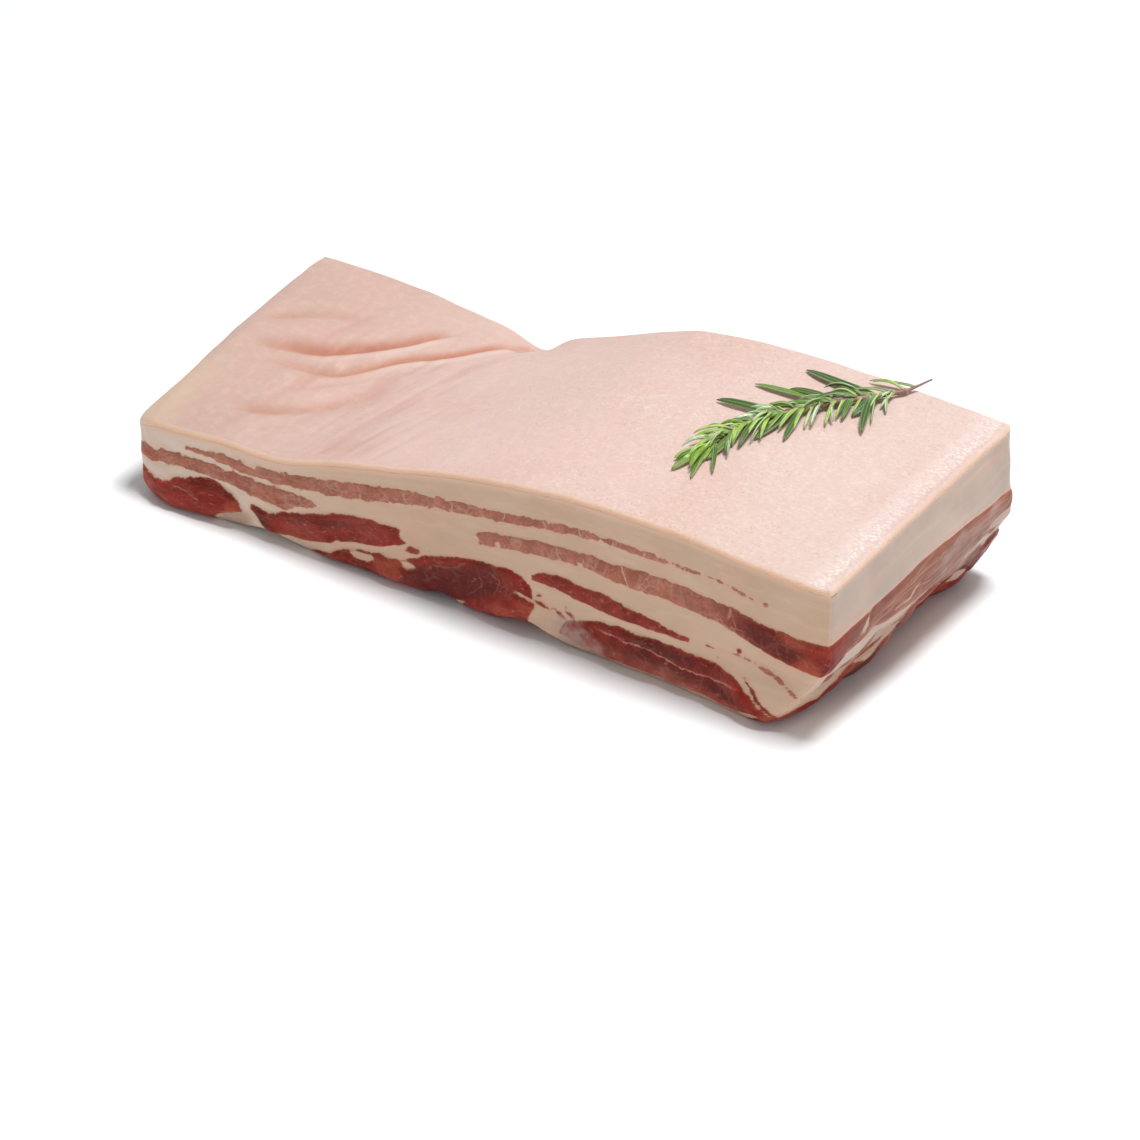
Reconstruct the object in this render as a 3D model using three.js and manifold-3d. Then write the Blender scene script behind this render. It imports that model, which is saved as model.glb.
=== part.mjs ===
// A boneless, rind-on slab of pork belly with a sprig of rosemary lying on it.
//
// Frame: millimetres, +X along the slab from its thin flank end to its thick rib end, +Y from the long
// cut face in front to the one behind, +Z up. The origin is on the underside, in the middle of the slab.
//
// The slab is one block of fat under a rind, and the muscles run through it from the front cut to the
// back cut. Each muscle is its own solid, with a hairline gap to the pocket that it fills in the fat.

import * as THREE from "three";
import { mergeVertices } from "three/addons/utils/BufferGeometryUtils.js";
import Module from "manifold-3d";

const wasm = await Module();
wasm.setup();

// ---- Driving dimensions -------------------------------------------------------------------------

const LENGTH = 302; // flank end to rib end, along the middle of the slab
const WIDTH = 124; // front cut face to back cut face
const END_FLARE = 3.4; // how much longer the back edge is than the front edge
const FLANK_CORNER = 3.6; // how far the front corner of the flank end is drawn out again
const HAIRLINE = 0.3; // gap between a muscle and its pocket, and between the sprig and the rind
const CROWN = 1.1; // how far the middle of the rind stands above a straight line between its edges
const FLANK_CROWN = 5; // the same at the flank end
const RIND_ROUND = 1.1; // rounding of the cut rind's upper edge
const FLANK_ROUND = 1.4; // the same at the flank end, where the rind curls over
const FLANK_DROOP = 2.6; // how far that curl drops
const UNDERCUT = 18; // how far the underside stops short of the rind at the rib end
const UNDERCUT_FROM = 33; // height at which that undercut starts
const RIB_BULGE = 2; // how far the lean above it bulges out of the rib end
const CUT_OVERSHOOT = 5; // how far the muscles run past the cut faces before they are trimmed

const HALF_LENGTH = LENGTH / 2;
const HALF_WIDTH = WIDTH / 2;

// Grid of the slab's skin: along X, across Y, and up each side.
const SEGMENTS_ALONG = 35;
const SEGMENTS_ACROSS = 18;
const SEGMENTS_UP = 5;
const FINER_FLANK = 0.22; // 0 spaces the columns evenly; more packs them towards the creased flank end
const FINER_BACK = 0.2; // the same for the rows, towards the notched back edge

// ---- Small helpers ------------------------------------------------------------------------------

const { lerp, clamp, smoothstep } = THREE.MathUtils;
const bell = (distance, halfWidth) => Math.exp(-((distance / halfWidth) ** 2));
const fade = (value, from, to) => smoothstep(value, Math.min(from, to), Math.max(from, to));

// Repeatable scatter between 0 and 1 for piece i, choice k.
function scatter(i, k) {
  const s = Math.sin(i * 127.1 + k * 311.7) * 43758.5453;
  return s - Math.floor(s);
}

// A smooth function through [x, value, value, ...] stations, flat beyond its ends.
function through(stations) {
  const last = stations.length - 1;
  const slope = (k, c) => {
    const a = stations[Math.max(k - 1, 0)];
    const b = stations[Math.min(k + 1, last)];
    return (b[c] - a[c]) / (b[0] - a[0]);
  };
  return (x, c = 1) => {
    if (x <= stations[0][0]) return stations[0][c];
    if (x >= stations[last][0]) return stations[last][c];
    let k = 0;
    while (x > stations[k + 1][0]) k += 1;
    const [p, q] = [stations[k], stations[k + 1]];
    const h = q[0] - p[0];
    const t = (x - p[0]) / h;
    const [t2, t3] = [t * t, t * t * t];
    return (
      (2 * t3 - 3 * t2 + 1) * p[c] +
      (t3 - 2 * t2 + t) * h * slope(k, c) +
      (3 * t2 - 2 * t3) * q[c] +
      (t3 - t2) * h * slope(k + 1, c)
    );
  };
}

// A closed geometry lofted through rings of equally many points, capped at both ends.
function loft(rings) {
  const n = rings[0].length;
  const index = [];
  for (let r = 0; r + 1 < rings.length; r += 1) {
    for (let i = 0; i < n; i += 1) {
      const j = (i + 1) % n;
      const [a, b, c, d] = [r * n + i, r * n + j, (r + 1) * n + j, (r + 1) * n + i];
      index.push(a, b, c, a, c, d);
    }
  }
  // Each cap is a zigzag strip between the ring's first half and its second, so a flat ring caps cleanly.
  const cap = (start, turned) => {
    for (let i = 0; i < n / 2 - 1; i += 1) {
      const [a, b, c, d] = [i, i + 1, n - 2 - i, n - 1 - i].map((k) => start + k);
      for (const [p, q, s] of [[a, b, c], [a, c, d]]) {
        index.push(...(turned ? [p, s, q] : [p, q, s]));
      }
    }
  };
  cap(0, true);
  cap((rings.length - 1) * n, false);
  const points = rings.flat().flatMap((p) => [p.x, p.y, p.z]);
  return new THREE.BufferGeometry()
    .setAttribute("position", new THREE.Float32BufferAttribute(points, 3))
    .setIndex(index);
}

function solidFrom(geometry) {
  const bare = geometry.clone();
  bare.deleteAttribute("normal");
  bare.deleteAttribute("uv");
  const merged = mergeVertices(bare, 1e-4);
  const vertProperties = merged.attributes.position.array;
  const triVerts = new Uint32Array(merged.index.array);
  const solid = new wasm.Manifold(new wasm.Mesh({ numProp: 3, vertProperties, triVerts }));
  if (solid.volume() > 0) return solid;
  for (let i = 0; i < triVerts.length; i += 3) {
    [triVerts[i + 1], triVerts[i + 2]] = [triVerts[i + 2], triVerts[i + 1]];
  }
  return new wasm.Manifold(new wasm.Mesh({ numProp: 3, vertProperties, triVerts }));
}

// Trimming can leave loose scraps beside a muscle or the fat: only the main body is kept.
function mainBody(solid) {
  return solid.decompose().reduce((best, s) => (s.volume() > best.volume() ? s : best));
}

function meshFrom(solid, name, material) {
  const made = solid.getMesh();
  const geometry = new THREE.BufferGeometry()
    .setAttribute("position", new THREE.BufferAttribute(made.vertProperties, 3))
    .setIndex(new THREE.BufferAttribute(made.triVerts, 1));
  geometry.computeVertexNormals();
  const mesh = new THREE.Mesh(geometry, material);
  mesh.name = name;
  return mesh;
}

// ---- The rind: height of the slab over its plan --------------------------------------------------

// Height of the rind along the front cut and along the back cut, from the flank end to the rib end.
const frontRind = through([
  [-150, 33.5], [-137, 34.9], [-113, 37.2], [-88, 37.8], [-72, 42], [-58, 46.4], [-36, 51.8],
  [-9, 58.6], [16, 63.5], [45, 67], [82, 68], [119, 65.7], [150, 65.2],
]);
const backRind = through([
  [-150, 43.4], [-103, 42.8], [-70, 39.4], [-48, 41.3], [-30, 45.8], [-11, 53.2], [7, 61],
  [24, 66.6], [59, 70.4], [110, 70.6], [150, 69.4],
]);

// The rind buckles where the thin flank meets the thick middle: a notch at the back edge, and creases
// that fan out from it across the flank. Each crease is a line in plan, with its depth and half width.
const NOTCH = { x: -49, depth: 7.5, halfWidth: 9, reach: 17 };
const CREASES = [
  { depth: 2.4, halfWidth: 4, line: [[-142, 3], [-124, 6], [-110, 9], [-99, 18], [-84, 37]] },
  { depth: 3.2, halfWidth: 4.2, line: [[-134, -8], [-112, -5], [-92, 14], [-74, 28], [-57, 46]] },
  { depth: 1.5, halfWidth: 6.5, line: [[-120, -39], [-103, -35], [-88, -20], [-78, 6]] },
  { depth: 1, halfWidth: 6, line: [[-150, 18], [-135, 28], [-114, 35]] },
];
const CREASE_STEPS = 24;
const creasePaths = CREASES.map(({ line }) =>
  new THREE.CatmullRomCurve3(line.map(([x, y]) => new THREE.Vector3(x, y, 0))).getPoints(CREASE_STEPS),
);

function creaseDepth(x, y) {
  const here = new THREE.Vector3(x, y, 0);
  let depth = 0;
  CREASES.forEach((crease, k) => {
    let nearest = Infinity;
    let along = 0;
    creasePaths[k].forEach((p, i) => {
      const away = p.distanceTo(here);
      if (away < nearest) [nearest, along] = [away, i / CREASE_STEPS];
    });
    // A crease fades in from the flank, is deepest near the notch, and pushes up a soft roll beside it.
    const strength = fade(along, 0, 0.5) * (1 - 0.6 * fade(along, 0.85, 1));
    const roll = 0.35 * bell(nearest - 2 * crease.halfWidth, crease.halfWidth);
    depth += crease.depth * strength * (bell(nearest, crease.halfWidth) - roll);
  });
  return depth;
}

// The rind without its creases, which the muscles below it follow.
function baseHeight(x, y) {
  const across = (y + HALF_WIDTH) / WIDTH;
  const notch = NOTCH.depth * bell(x - NOTCH.x, NOTCH.halfWidth) * bell(HALF_WIDTH - y, NOTCH.reach);
  const crown = lerp(FLANK_CROWN, CROWN, fade(x, -HALF_LENGTH, -75)) * (1 - (2 * across - 1) ** 2);
  return lerp(frontRind(x), backRind(x), clamp(across, 0, 1)) + crown - notch;
}

const rindHeight = (x, y) => baseHeight(x, y) - creaseDepth(x, y);

// ---- The underside: muscles pressed flat on the counter, with hollows between them ---------------

const HOLLOWS = [
  { x: -90, depth: 5, halfWidth: 17, bend: 7, phase: 0.4 },
  { x: -14, depth: 6, halfWidth: 9, bend: 5, phase: 5.2 },
  { x: 24, depth: 8, halfWidth: 15, bend: 8, phase: 1 },
];
const SEAT = 1.4; // depth that the counter presses out of every hollow, which leaves flats at height 0

function undersideHeight(x, y) {
  const hollow = HOLLOWS.reduce((sum, h) => {
    const centre = h.x + h.bend * (Math.sin(y / 24 + h.phase) - Math.sin(-HALF_WIDTH / 24 + h.phase));
    return sum + h.depth * bell(x - centre, h.halfWidth);
  }, 0);
  return Math.max(0, hollow - SEAT);
}

// ---- The whole slab: a box whose grid is carried onto those surfaces -----------------------------

// How far the lowest muscles bulge out of the front cut.
const frontBulge = through([[-150, 3.2], [-132, 3.2], [-108, 0.8], [-90, 0], [70, 0], [100, 1.4], [130, 4]]);

// How far the rib end and the flank end draw in at a height, and how far the long cut faces do.
function ribEndInset(z, y) {
  const lobes = 1 + 0.1 * Math.sin(y / 11) + 0.06 * Math.sin(y / 5 + 1);
  const bulge = RIB_BULGE * bell(z - 38, 13) * fade(y, -HALF_WIDTH, 0);
  return UNDERCUT * lobes * Math.max(0, (UNDERCUT_FROM - z) / UNDERCUT_FROM) ** 1.2 - bulge;
}
const flankEndInset = (z) => 4 * Math.max(0, (9 - z) / 9) ** 2;
function longFaceInset(z, x, side) {
  const seam = Math.sin(x / 19 + side) + 0.6 * Math.sin(x / 8 + 2 * side);
  const bulge = side < 0 ? frontBulge(x) * (1 - fade(z, 6, 26)) : 0;
  return 3.2 * Math.max(0, (7 - z) / 7) ** 2 - 0.5 * seam * bell(z - 12, 10) - bulge;
}

const CORNER_PULL = { flankFront: 1.2, other: 0.4 }; // rounding of the upright corners, seen from above

// Carries a point of the box from -1 to 1 each way to its place on the slab.
function placeOnSlab(u, v, w) {
  const rise = (w + 1) / 2;
  const up = rise - 0.12 * Math.sin(2 * Math.PI * rise);
  const y0 = (v + FINER_BACK * (1 - v * v)) * HALF_WIDTH;
  const drawnOut = u < 0 ? FLANK_CORNER * fade(-y0 / HALF_WIDTH, 0.4, 1) : 0;
  const reach = HALF_LENGTH + (END_FLARE / 2) * (y0 / HALF_WIDTH) + drawnOut;
  const x0 = (u - FINER_FLANK * (1 - u * u)) * reach;
  const z0 = lerp(undersideHeight(x0, y0), rindHeight(x0, y0), up);
  const atRindEdge = fade(up, 0.94, 1);
  const endInset = u > 0 ? ribEndInset(z0, y0) : flankEndInset(z0);
  const endRound = atRindEdge * (u > 0 ? RIND_ROUND : FLANK_ROUND);
  const pull = (u < 0 && v < 0 ? CORNER_PULL.flankFront : CORNER_PULL.other) * Math.abs(u * v) ** 12;
  const inX = endInset * Math.abs(u) ** 4 + endRound * Math.abs(u) ** 30 + pull;
  const inY = (longFaceInset(z0, x0, Math.sign(v)) + atRindEdge * RIND_ROUND) * Math.abs(v) ** 8 + pull;
  const x = x0 - Math.sign(u) * inX;
  const y = y0 - Math.sign(v) * inY;
  const droop = u < 0 ? FLANK_DROOP * atRindEdge * Math.abs(u) ** 30 : 0;
  return [x, y, lerp(undersideHeight(x, y), rindHeight(x, y) - droop, up)];
}

function slabSolid() {
  const box = new THREE.BoxGeometry(2, 2, 2, SEGMENTS_ALONG, SEGMENTS_ACROSS, SEGMENTS_UP);
  const at = box.attributes.position;
  for (let i = 0; i < at.count; i += 1) {
    at.setXYZ(i, ...placeOnSlab(at.getX(i), at.getY(i), at.getZ(i)));
  }
  return solidFrom(box);
}

// ---- The muscles --------------------------------------------------------------------------------

// Each muscle has stations along the front cut: [x, height of its middle, thickness]. A muscle of the
// underside has `under: true` and stations of [x, height of its top]: it reaches down past the slab.
// `sway` lifts it towards the middle of the slab and `swell` thickens it there, and `reach` draws its rib
// end out behind the front cut.
const MUSCLES = {
  lean_upper_streak: {
    tone: "pale",
    sway: 1,
    swell: 0.1,
    stations: [
      [-128, 27.8, 0.9], [-113, 28.6, 3.6], [-92, 28.6, 5], [-70, 32, 6.4], [-49, 36.3, 6.8],
      [-23, 42.4, 5.4], [0, 45.8, 4.4], [30, 50.3, 3.9], [55, 53.4, 2.6], [82, 53.4, 1.6],
    ],
  },
  lean_flank_streak: {
    tone: "pale",
    sway: 1,
    swell: 0.1,
    stations: [
      [-158, 17.6, 5], [-133, 21.3, 5.4], [-113, 21.8, 5.6], [-96, 20.8, 7.6], [-84, 20.8, 8],
      [-75, 22.4, 5], [-69, 23.4, 1],
    ],
  },
  lean_main_band: {
    tone: "pale",
    sway: 4.5,
    swell: 0.3,
    stations: [
      [1, 34.4, 1.8], [8, 36, 5.6], [20, 38.6, 6.6], [43, 41.3, 6], [65, 41.3, 8.2], [84, 41.8, 9],
      [104, 40.2, 8.6], [119, 37.4, 10.6], [134, 35, 12.6], [160, 34, 16],
    ],
  },
  lean_wedge: {
    tone: "middle",
    sway: 1.5,
    swell: 0.1,
    stations: [[29, 27.4, 1.2], [36, 28, 4.8], [47, 27, 6.6], [62, 26, 7], [78, 24.7, 4], [92, 23.7, 1]],
  },
  lean_flank_muscle: {
    tone: "dark",
    under: true,
    sway: 1,
    stations: [
      [-158, 12], [-149, 11.8], [-139, 11], [-131, 14.6], [-121, 17.8], [-114, 17.2], [-107, 14],
      [-103, 8.5], [-101, 2],
    ],
  },
  lean_middle_muscle: {
    tone: "dark",
    sway: 1,
    swell: 0.1,
    stations: [
      [-99, 11.8, 2], [-92, 8.6, 8], [-84, 9.6, 10], [-71, 12.8, 12.6], [-54, 18.4, 12.4],
      [-41, 20.4, 10.8], [-31, 23, 6], [-26, 24, 1.4],
    ],
  },
  lean_centre_muscle: {
    tone: "dark",
    under: true,
    sway: 1,
    stations: [
      [-73, 1], [-66, 3.4], [-56, 8.4], [-43, 11.6], [-31, 13], [-20, 18.6], [-6, 23], [8, 25.6],
      [19, 26], [25, 22], [28, 13], [29, 2],
    ],
  },
  lean_rib_muscle: {
    tone: "dark",
    under: true,
    sway: 1.5,
    reach: 13,
    stations: [
      [37, 5], [41, 12.4], [55, 17.8], [74, 18.8], [96, 18.8], [108, 17.4], [116, 13.8], [123, 9.4],
      [130, 5.6], [139, 2.5],
    ],
  },
};
const COLUMNS = 10; // of each muscle, from end to end
const ROWS = 4; // of each muscle, from the front cut to the back cut
const DRIFT = 3; // how far the muscles wander along the slab between its front and its back
const BELOW = -6; // how far down the muscles of the underside reach before they are trimmed

// The muscle as it is lofted from front to back, drawn out by `grow` on every side.
function muscleGeometry({ stations, under, sway = 0, swell = 0, reach = 0 }, order, grow) {
  const height = through(stations);
  const [from, to] = [stations[0][0], stations.at(-1)[0]];
  const rings = [];
  for (let r = 0; r <= ROWS; r += 1) {
    const y = lerp(-HALF_WIDTH - CUT_OVERSHOOT, HALF_WIDTH + CUT_OVERSHOOT, r / ROWS);
    const inward = fade(y, -HALF_WIDTH, 0) * (1 - fade(y, 0.2 * HALF_WIDTH, 1.5 * HALF_WIDTH));
    const drift = DRIFT * Math.sin((y + HALF_WIDTH) / 40);
    const drawnOut = reach * fade(y, -HALF_WIDTH, -0.5 * HALF_WIDTH);
    const backShare = lerp(1, lerp(0.82, 1.08, scatter(order, 1)), fade(y, -HALF_WIDTH, HALF_WIDTH));
    const upper = [];
    const lower = [];
    for (let c = 0; c <= COLUMNS; c += 1) {
      const share = (1 - Math.cos((Math.PI * c) / COLUMNS)) / 2;
      const x = lerp(from, to, share);
      const follow = baseHeight(x + drift, y) / baseHeight(x, -HALF_WIDTH);
      const middle = height(x) * follow + sway * inward;
      const half = under ? 0 : (height(x, 2) * (1 + swell * inward) * backShare) / 2;
      const px = x + drift + drawnOut * share ** 3 + (c === 0 ? -grow : c === COLUMNS ? grow : 0);
      upper.push(new THREE.Vector3(px, y, middle + half + grow));
      lower.push(new THREE.Vector3(px, y, under ? BELOW : middle - half - grow));
    }
    rings.push([...upper, ...lower.reverse()]);
  }
  return loft(rings);
}

// ---- The rosemary sprig --------------------------------------------------------------------------

// The stem in plan from its torn heel, past the back edge, to the tip of the sprig, with its height
// over the rind and its radius.
const STEM = [
  [114.5, 68.5, 3.6, 0.45], [109.3, 57.5, 3, 1.3], [103, 49, 2.8, 1.15], [96.5, 40, 2.8, 1.1],
  [88.5, 27.5, 2.7, 1.05], [80, 12, 2.6, 0.95], [74.5, -2, 2.4, 0.8], [71, -14, 2.3, 0.6],
];
const STEM_SIDES = 6;
const STEM_STEPS = 14;
const NEEDLE_PAIRS = 22;
const NEEDLE_STEPS = 3;
const FIRST_PAIR = 0.1; // share of the stem that is bare at the heel
const NEEDLE_CLEARANCE = 0.55; // lowest a needle's middle line comes over the rind, less its half thickness

const stemLine = new THREE.CatmullRomCurve3(
  STEM.map(([x, y, lift]) => new THREE.Vector3(x, y, rindHeight(x, Math.min(y, HALF_WIDTH)) + lift)),
);
const stemRadius = (t) => {
  const at = t * (STEM.length - 1);
  const k = Math.min(Math.floor(at), STEM.length - 2);
  return lerp(STEM[k][3], STEM[k + 1][3], at - k);
};
const UP = new THREE.Vector3(0, 0, 1);

function stemGeometry() {
  const rings = [];
  for (let r = 0; r <= STEM_STEPS; r += 1) {
    const t = r / STEM_STEPS;
    const centre = stemLine.getPoint(t);
    const side = new THREE.Vector3().crossVectors(stemLine.getTangent(t), UP).normalize();
    rings.push(
      Array.from({ length: STEM_SIDES }, (_, i) => {
        const turn = (2 * Math.PI * i) / STEM_SIDES;
        return centre
          .clone()
          .addScaledVector(side, stemRadius(t) * Math.cos(turn))
          .addScaledVector(UP, stemRadius(t) * Math.sin(turn));
      }),
    );
  }
  return loft(rings);
}

// One needle: where it starts on the stem, which way it lies in plan, its length and how high it stands.
function needlePlan(i) {
  const pair = Math.floor(i / 2);
  const along = pair / (NEEDLE_PAIRS - 1);
  const towardsTip = along ** 0.86;
  const side = i % 2 ? 1 : -1;
  const standing = pair % 2; // every other pair stands over the stem and the rest lie beside it
  const widest = side > 0 ? 48 : 64;
  const open = lerp(widest, 22, towardsTip ** 1.6) * (standing ? 0.6 : 1) + 18 * (scatter(i, 2) - 0.5);
  return {
    start: lerp(FIRST_PAIR, 1, towardsTip),
    turn: THREE.MathUtils.degToRad(side * open),
    length: (side > 0 ? 19 : 22) * lerp(0.68, 1.3, scatter(i, 3)),
    width: lerp(3, 2.4, along) * lerp(0.85, 1.2, scatter(i, 4)),
    lift: standing ? 2.6 + 2.2 * scatter(i, 5) : 0.5 * scatter(i, 5),
    curl: side * lerp(-0.25, 0.3, scatter(i, 6)),
  };
}

const NEEDLE_THICKNESS = 0.9;
const NEEDLE_WIDTHS = [0.5, 1, 0.95, 0.16]; // share of the full width, from stem to tip

function needleGeometry(plan) {
  const root = stemLine.getPoint(plan.start);
  const forward = stemLine.getTangent(Math.min(plan.start, 0.999)).setZ(0).normalize();
  const rings = [];
  let [x, y] = [root.x, root.y];
  const step = plan.length / NEEDLE_STEPS;
  const rootLift = root.z - rindHeight(x, Math.min(y, HALF_WIDTH));
  for (let k = 0; k <= NEEDLE_STEPS; k += 1) {
    const t = k / NEEDLE_STEPS;
    const heading = forward.clone().applyAxisAngle(UP, plan.turn + plan.curl * t);
    const half = (plan.width * NEEDLE_WIDTHS[k]) / 2;
    const arch = plan.lift * Math.sin(Math.PI * Math.min(1, 0.75 * t + 0.1));
    const rest = NEEDLE_CLEARANCE + NEEDLE_THICKNESS / 2;
    const lift = Math.max(lerp(rootLift, rest, fade(t, 0, 0.75)) + arch, rest);
    const z = rindHeight(x, Math.min(y, HALF_WIDTH)) + lift;
    const side = new THREE.Vector3().crossVectors(heading, UP);
    const centre = new THREE.Vector3(x, y, z);
    const thick = (NEEDLE_THICKNESS / 2) * Math.sqrt(NEEDLE_WIDTHS[k]);
    rings.push([
      centre.clone().addScaledVector(side, half),
      centre.clone().addScaledVector(UP, thick),
      centre.clone().addScaledVector(side, -half),
      centre.clone().addScaledVector(UP, -thick),
    ]);
    x += heading.x * step;
    y += heading.y * step;
  }
  return loft(rings);
}

function sprigSolid() {
  let sprig = solidFrom(stemGeometry());
  for (let i = 0; i < 2 * NEEDLE_PAIRS; i += 1) {
    sprig = sprig.add(solidFrom(needleGeometry(needlePlan(i))));
  }
  return mainBody(sprig);
}

// ---- Materials and the finished group -------------------------------------------------------------

const finish = (color, roughness) => new THREE.MeshStandardMaterial({ color, roughness, metalness: 0 });
const FAT = finish("#ecd0c0", 0.5);
const LEAN = {
  pale: finish("#c07c68", 0.45),
  middle: finish("#a05a4a", 0.45),
  dark: finish("#8a3830", 0.4),
};
const ROSEMARY = finish("#5f8a35", 0.6);

const belly = new THREE.Group();
belly.name = "pork_belly_slab";

const slab = slabSolid();
let fat = slab;
Object.entries(MUSCLES).forEach(([name, muscle], order) => {
  const lean = slab.intersect(solidFrom(muscleGeometry(muscle, order, 0)));
  belly.add(meshFrom(mainBody(lean), name, LEAN[muscle.tone]));
  fat = fat.subtract(solidFrom(muscleGeometry(muscle, order, HAIRLINE)));
});
belly.add(meshFrom(mainBody(fat), "fat_and_rind", FAT));
belly.add(meshFrom(sprigSolid(), "rosemary_sprig", ROSEMARY));

export default belly;
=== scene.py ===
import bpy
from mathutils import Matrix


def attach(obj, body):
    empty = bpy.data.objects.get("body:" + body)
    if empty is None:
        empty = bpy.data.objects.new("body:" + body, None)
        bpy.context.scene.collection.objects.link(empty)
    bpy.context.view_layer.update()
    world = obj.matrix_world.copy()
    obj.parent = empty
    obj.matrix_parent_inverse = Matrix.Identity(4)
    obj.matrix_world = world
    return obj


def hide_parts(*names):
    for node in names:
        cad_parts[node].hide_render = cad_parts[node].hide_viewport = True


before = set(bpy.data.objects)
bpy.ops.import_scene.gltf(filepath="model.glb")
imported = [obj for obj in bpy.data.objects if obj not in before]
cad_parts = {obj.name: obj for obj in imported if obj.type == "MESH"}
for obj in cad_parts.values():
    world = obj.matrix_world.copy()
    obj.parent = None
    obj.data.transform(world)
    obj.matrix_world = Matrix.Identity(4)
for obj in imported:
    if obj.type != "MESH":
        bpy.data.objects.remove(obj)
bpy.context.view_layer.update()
print("solids:", sorted(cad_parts))

# %% [markdown]
# # A slab of pork belly, in cells
#
# The solids give the true sizes: a block of fat under its rind, eight muscles that run through it
# and a sprig of rosemary. This lesson dresses them. Everything is worked out in millimetres in the
# solids' own frame: +X runs from the thin flank end to the thick rib end, +Y from the front cut to
# the back cut, and +Z up through the rind. Only the finished meshes are turned into metres.

# %% Modules and units
import itertools
from math import cos, pi, radians, sin

import bpy
import numpy as np
from mathutils import Matrix, Vector

MM = 0.001  # metres in a millimetre


# %% [markdown]
# ## The camera
#
# The slab is seen from its front right corner, from well above, through a long lens, so its edges
# stay almost parallel. A long lens far away is set by three things: the direction that it looks
# from, the distance, and the point that it looks at.

# %% Camera
CAMERA_AZIMUTH = radians(33)  # turned to the right of a square view of the front cut
CAMERA_ELEVATION = radians(34)
CAMERA_DISTANCE = 1.8
CAMERA_LENS = 152.1
CAMERA_FRAME = 36  # width in millimetres of the frame that the lens is given for
VIEW_END = 20  # nothing further off than this many metres is drawn
AIM_RIGHT, AIM_UP = 1.88 * MM, -12.61 * MM  # from the origin to the middle of the view

towards_camera = Vector((
    sin(CAMERA_AZIMUTH) * cos(CAMERA_ELEVATION),
    -cos(CAMERA_AZIMUTH) * cos(CAMERA_ELEVATION),
    sin(CAMERA_ELEVATION),
))
view_right = Vector((cos(CAMERA_AZIMUTH), sin(CAMERA_AZIMUTH), 0))
view_up = towards_camera.cross(view_right)

camera_data = bpy.data.cameras.new("camera")
camera_data.lens = CAMERA_LENS
camera_data.sensor_width = CAMERA_FRAME
camera_data.clip_end = VIEW_END
camera = bpy.data.objects.new("camera", camera_data)
camera.location = view_right * AIM_RIGHT + view_up * AIM_UP + towards_camera * CAMERA_DISTANCE
camera.rotation_euler = towards_camera.to_track_quat("Z", "Y").to_euler()
bpy.context.scene.collection.objects.link(camera)
bpy.context.scene.camera = camera
print("camera at", [round(c, 3) for c in camera.location])


# %% [markdown]
# ## Curves, bells and noise
#
# A piece of meat has no straight line in it. Its big shapes come from smooth curves drawn through a
# few stations, its creases from bell curves, and its unevenness from noise: a random height at
# each point of a lattice, blended smoothly in between. All of it is written for whole arrays,
# because the finished meshes have a hundred thousand points.

# %% Small helpers
def lerp(a, b, t):
    return a + (b - a) * t


def fade(value, start, end):
    """0 before `start` and 1 after `end`, with a smooth rise in between."""
    t = np.clip((value - start) / (end - start), 0, 1)
    return t * t * (3 - 2 * t)


def bell(distance, half_width):
    return np.exp(-((distance / half_width) ** 2))


def scatter(i, k):
    """A repeatable number between 0 and 1 for piece i, choice k."""
    s = sin(i * 127.1 + k * 311.7) * 43758.5453
    return s - np.floor(s)


print("halfway from 2 to 6:", lerp(2, 6, fade(5, 0, 10)))


# %% A smooth curve through stations
def through(stations, column=1):
    """A smooth function through rows of [x, value, ...], flat beyond its ends."""
    rows = np.array(stations, float)
    xs, ys = rows[:, 0], rows[:, column]
    here = np.arange(len(xs))
    before, after = np.maximum(here - 1, 0), np.minimum(here + 1, len(xs) - 1)
    slopes = (ys[after] - ys[before]) / (xs[after] - xs[before])

    def curve(x):
        x = np.clip(x, xs[0], xs[-1])
        k = np.clip(np.searchsorted(xs, x, side="right") - 1, 0, len(xs) - 2)
        h = xs[k + 1] - xs[k]
        t = (x - xs[k]) / h
        return (
            (2 * t**3 - 3 * t**2 + 1) * ys[k]
            + (t**3 - 2 * t**2 + t) * h * slopes[k]
            + (3 * t**2 - 2 * t**3) * ys[k + 1]
            + (t**3 - t**2) * h * slopes[k + 1]
        )

    return curve


# %% Noise
def hashed(c, seed):
    """A repeatable number between -1 and 1 for each lattice point c."""
    h = c[..., 0] * 374761393 + c[..., 1] * 668265263 + c[..., 2] * 1440662683
    h = h + seed * 1274126177
    h = ((h ^ (h >> 13)) * 1274126177) & 0x7FFFFFFF
    return ((h ^ (h >> 16)) & 0xFFFF) / 0x7FFF - 1


def noise(x, y, z, size, seed=0):
    """Smooth noise between -1 and 1, whose lumps are about `size` millimetres across."""
    points = np.stack(np.broadcast_arrays(x, y, z), -1) / size
    cell = np.floor(points).astype(np.int64)
    part = points - cell
    part = part * part * (3 - 2 * part)
    total = 0
    for corner in itertools.product((0, 1), repeat=3):
        weight = np.where(corner, part, 1 - part).prod(-1)
        total = total + hashed(cell + corner, seed) * weight
    return total


print("noise along 20 mm:", [round(float(v), 2) for v in noise(np.arange(0, 21, 5), 0, 0, 8)])


# %% [markdown]
# ## The height of the rind
#
# The rind rises from the thin flank to the thick rib end in one long wave. At the back edge it
# buckles into a notch, and creases fan out from there over the flank. These are the same curves
# that the solids were built from, so the dressed slab sits on them. The creases are drawn finer
# here: each is a narrow valley with a soft roll of skin pushed up beside it.

# %% Rind height
HALF_LENGTH, HALF_WIDTH = 151.0, 62.0
CROWN, FLANK_CROWN = 1.1, 5.0  # how far the rind arches up between its long edges
NOTCH_AT, NOTCH_DEPTH = -49, 6.8  # where the back edge buckles, and how deep

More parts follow.
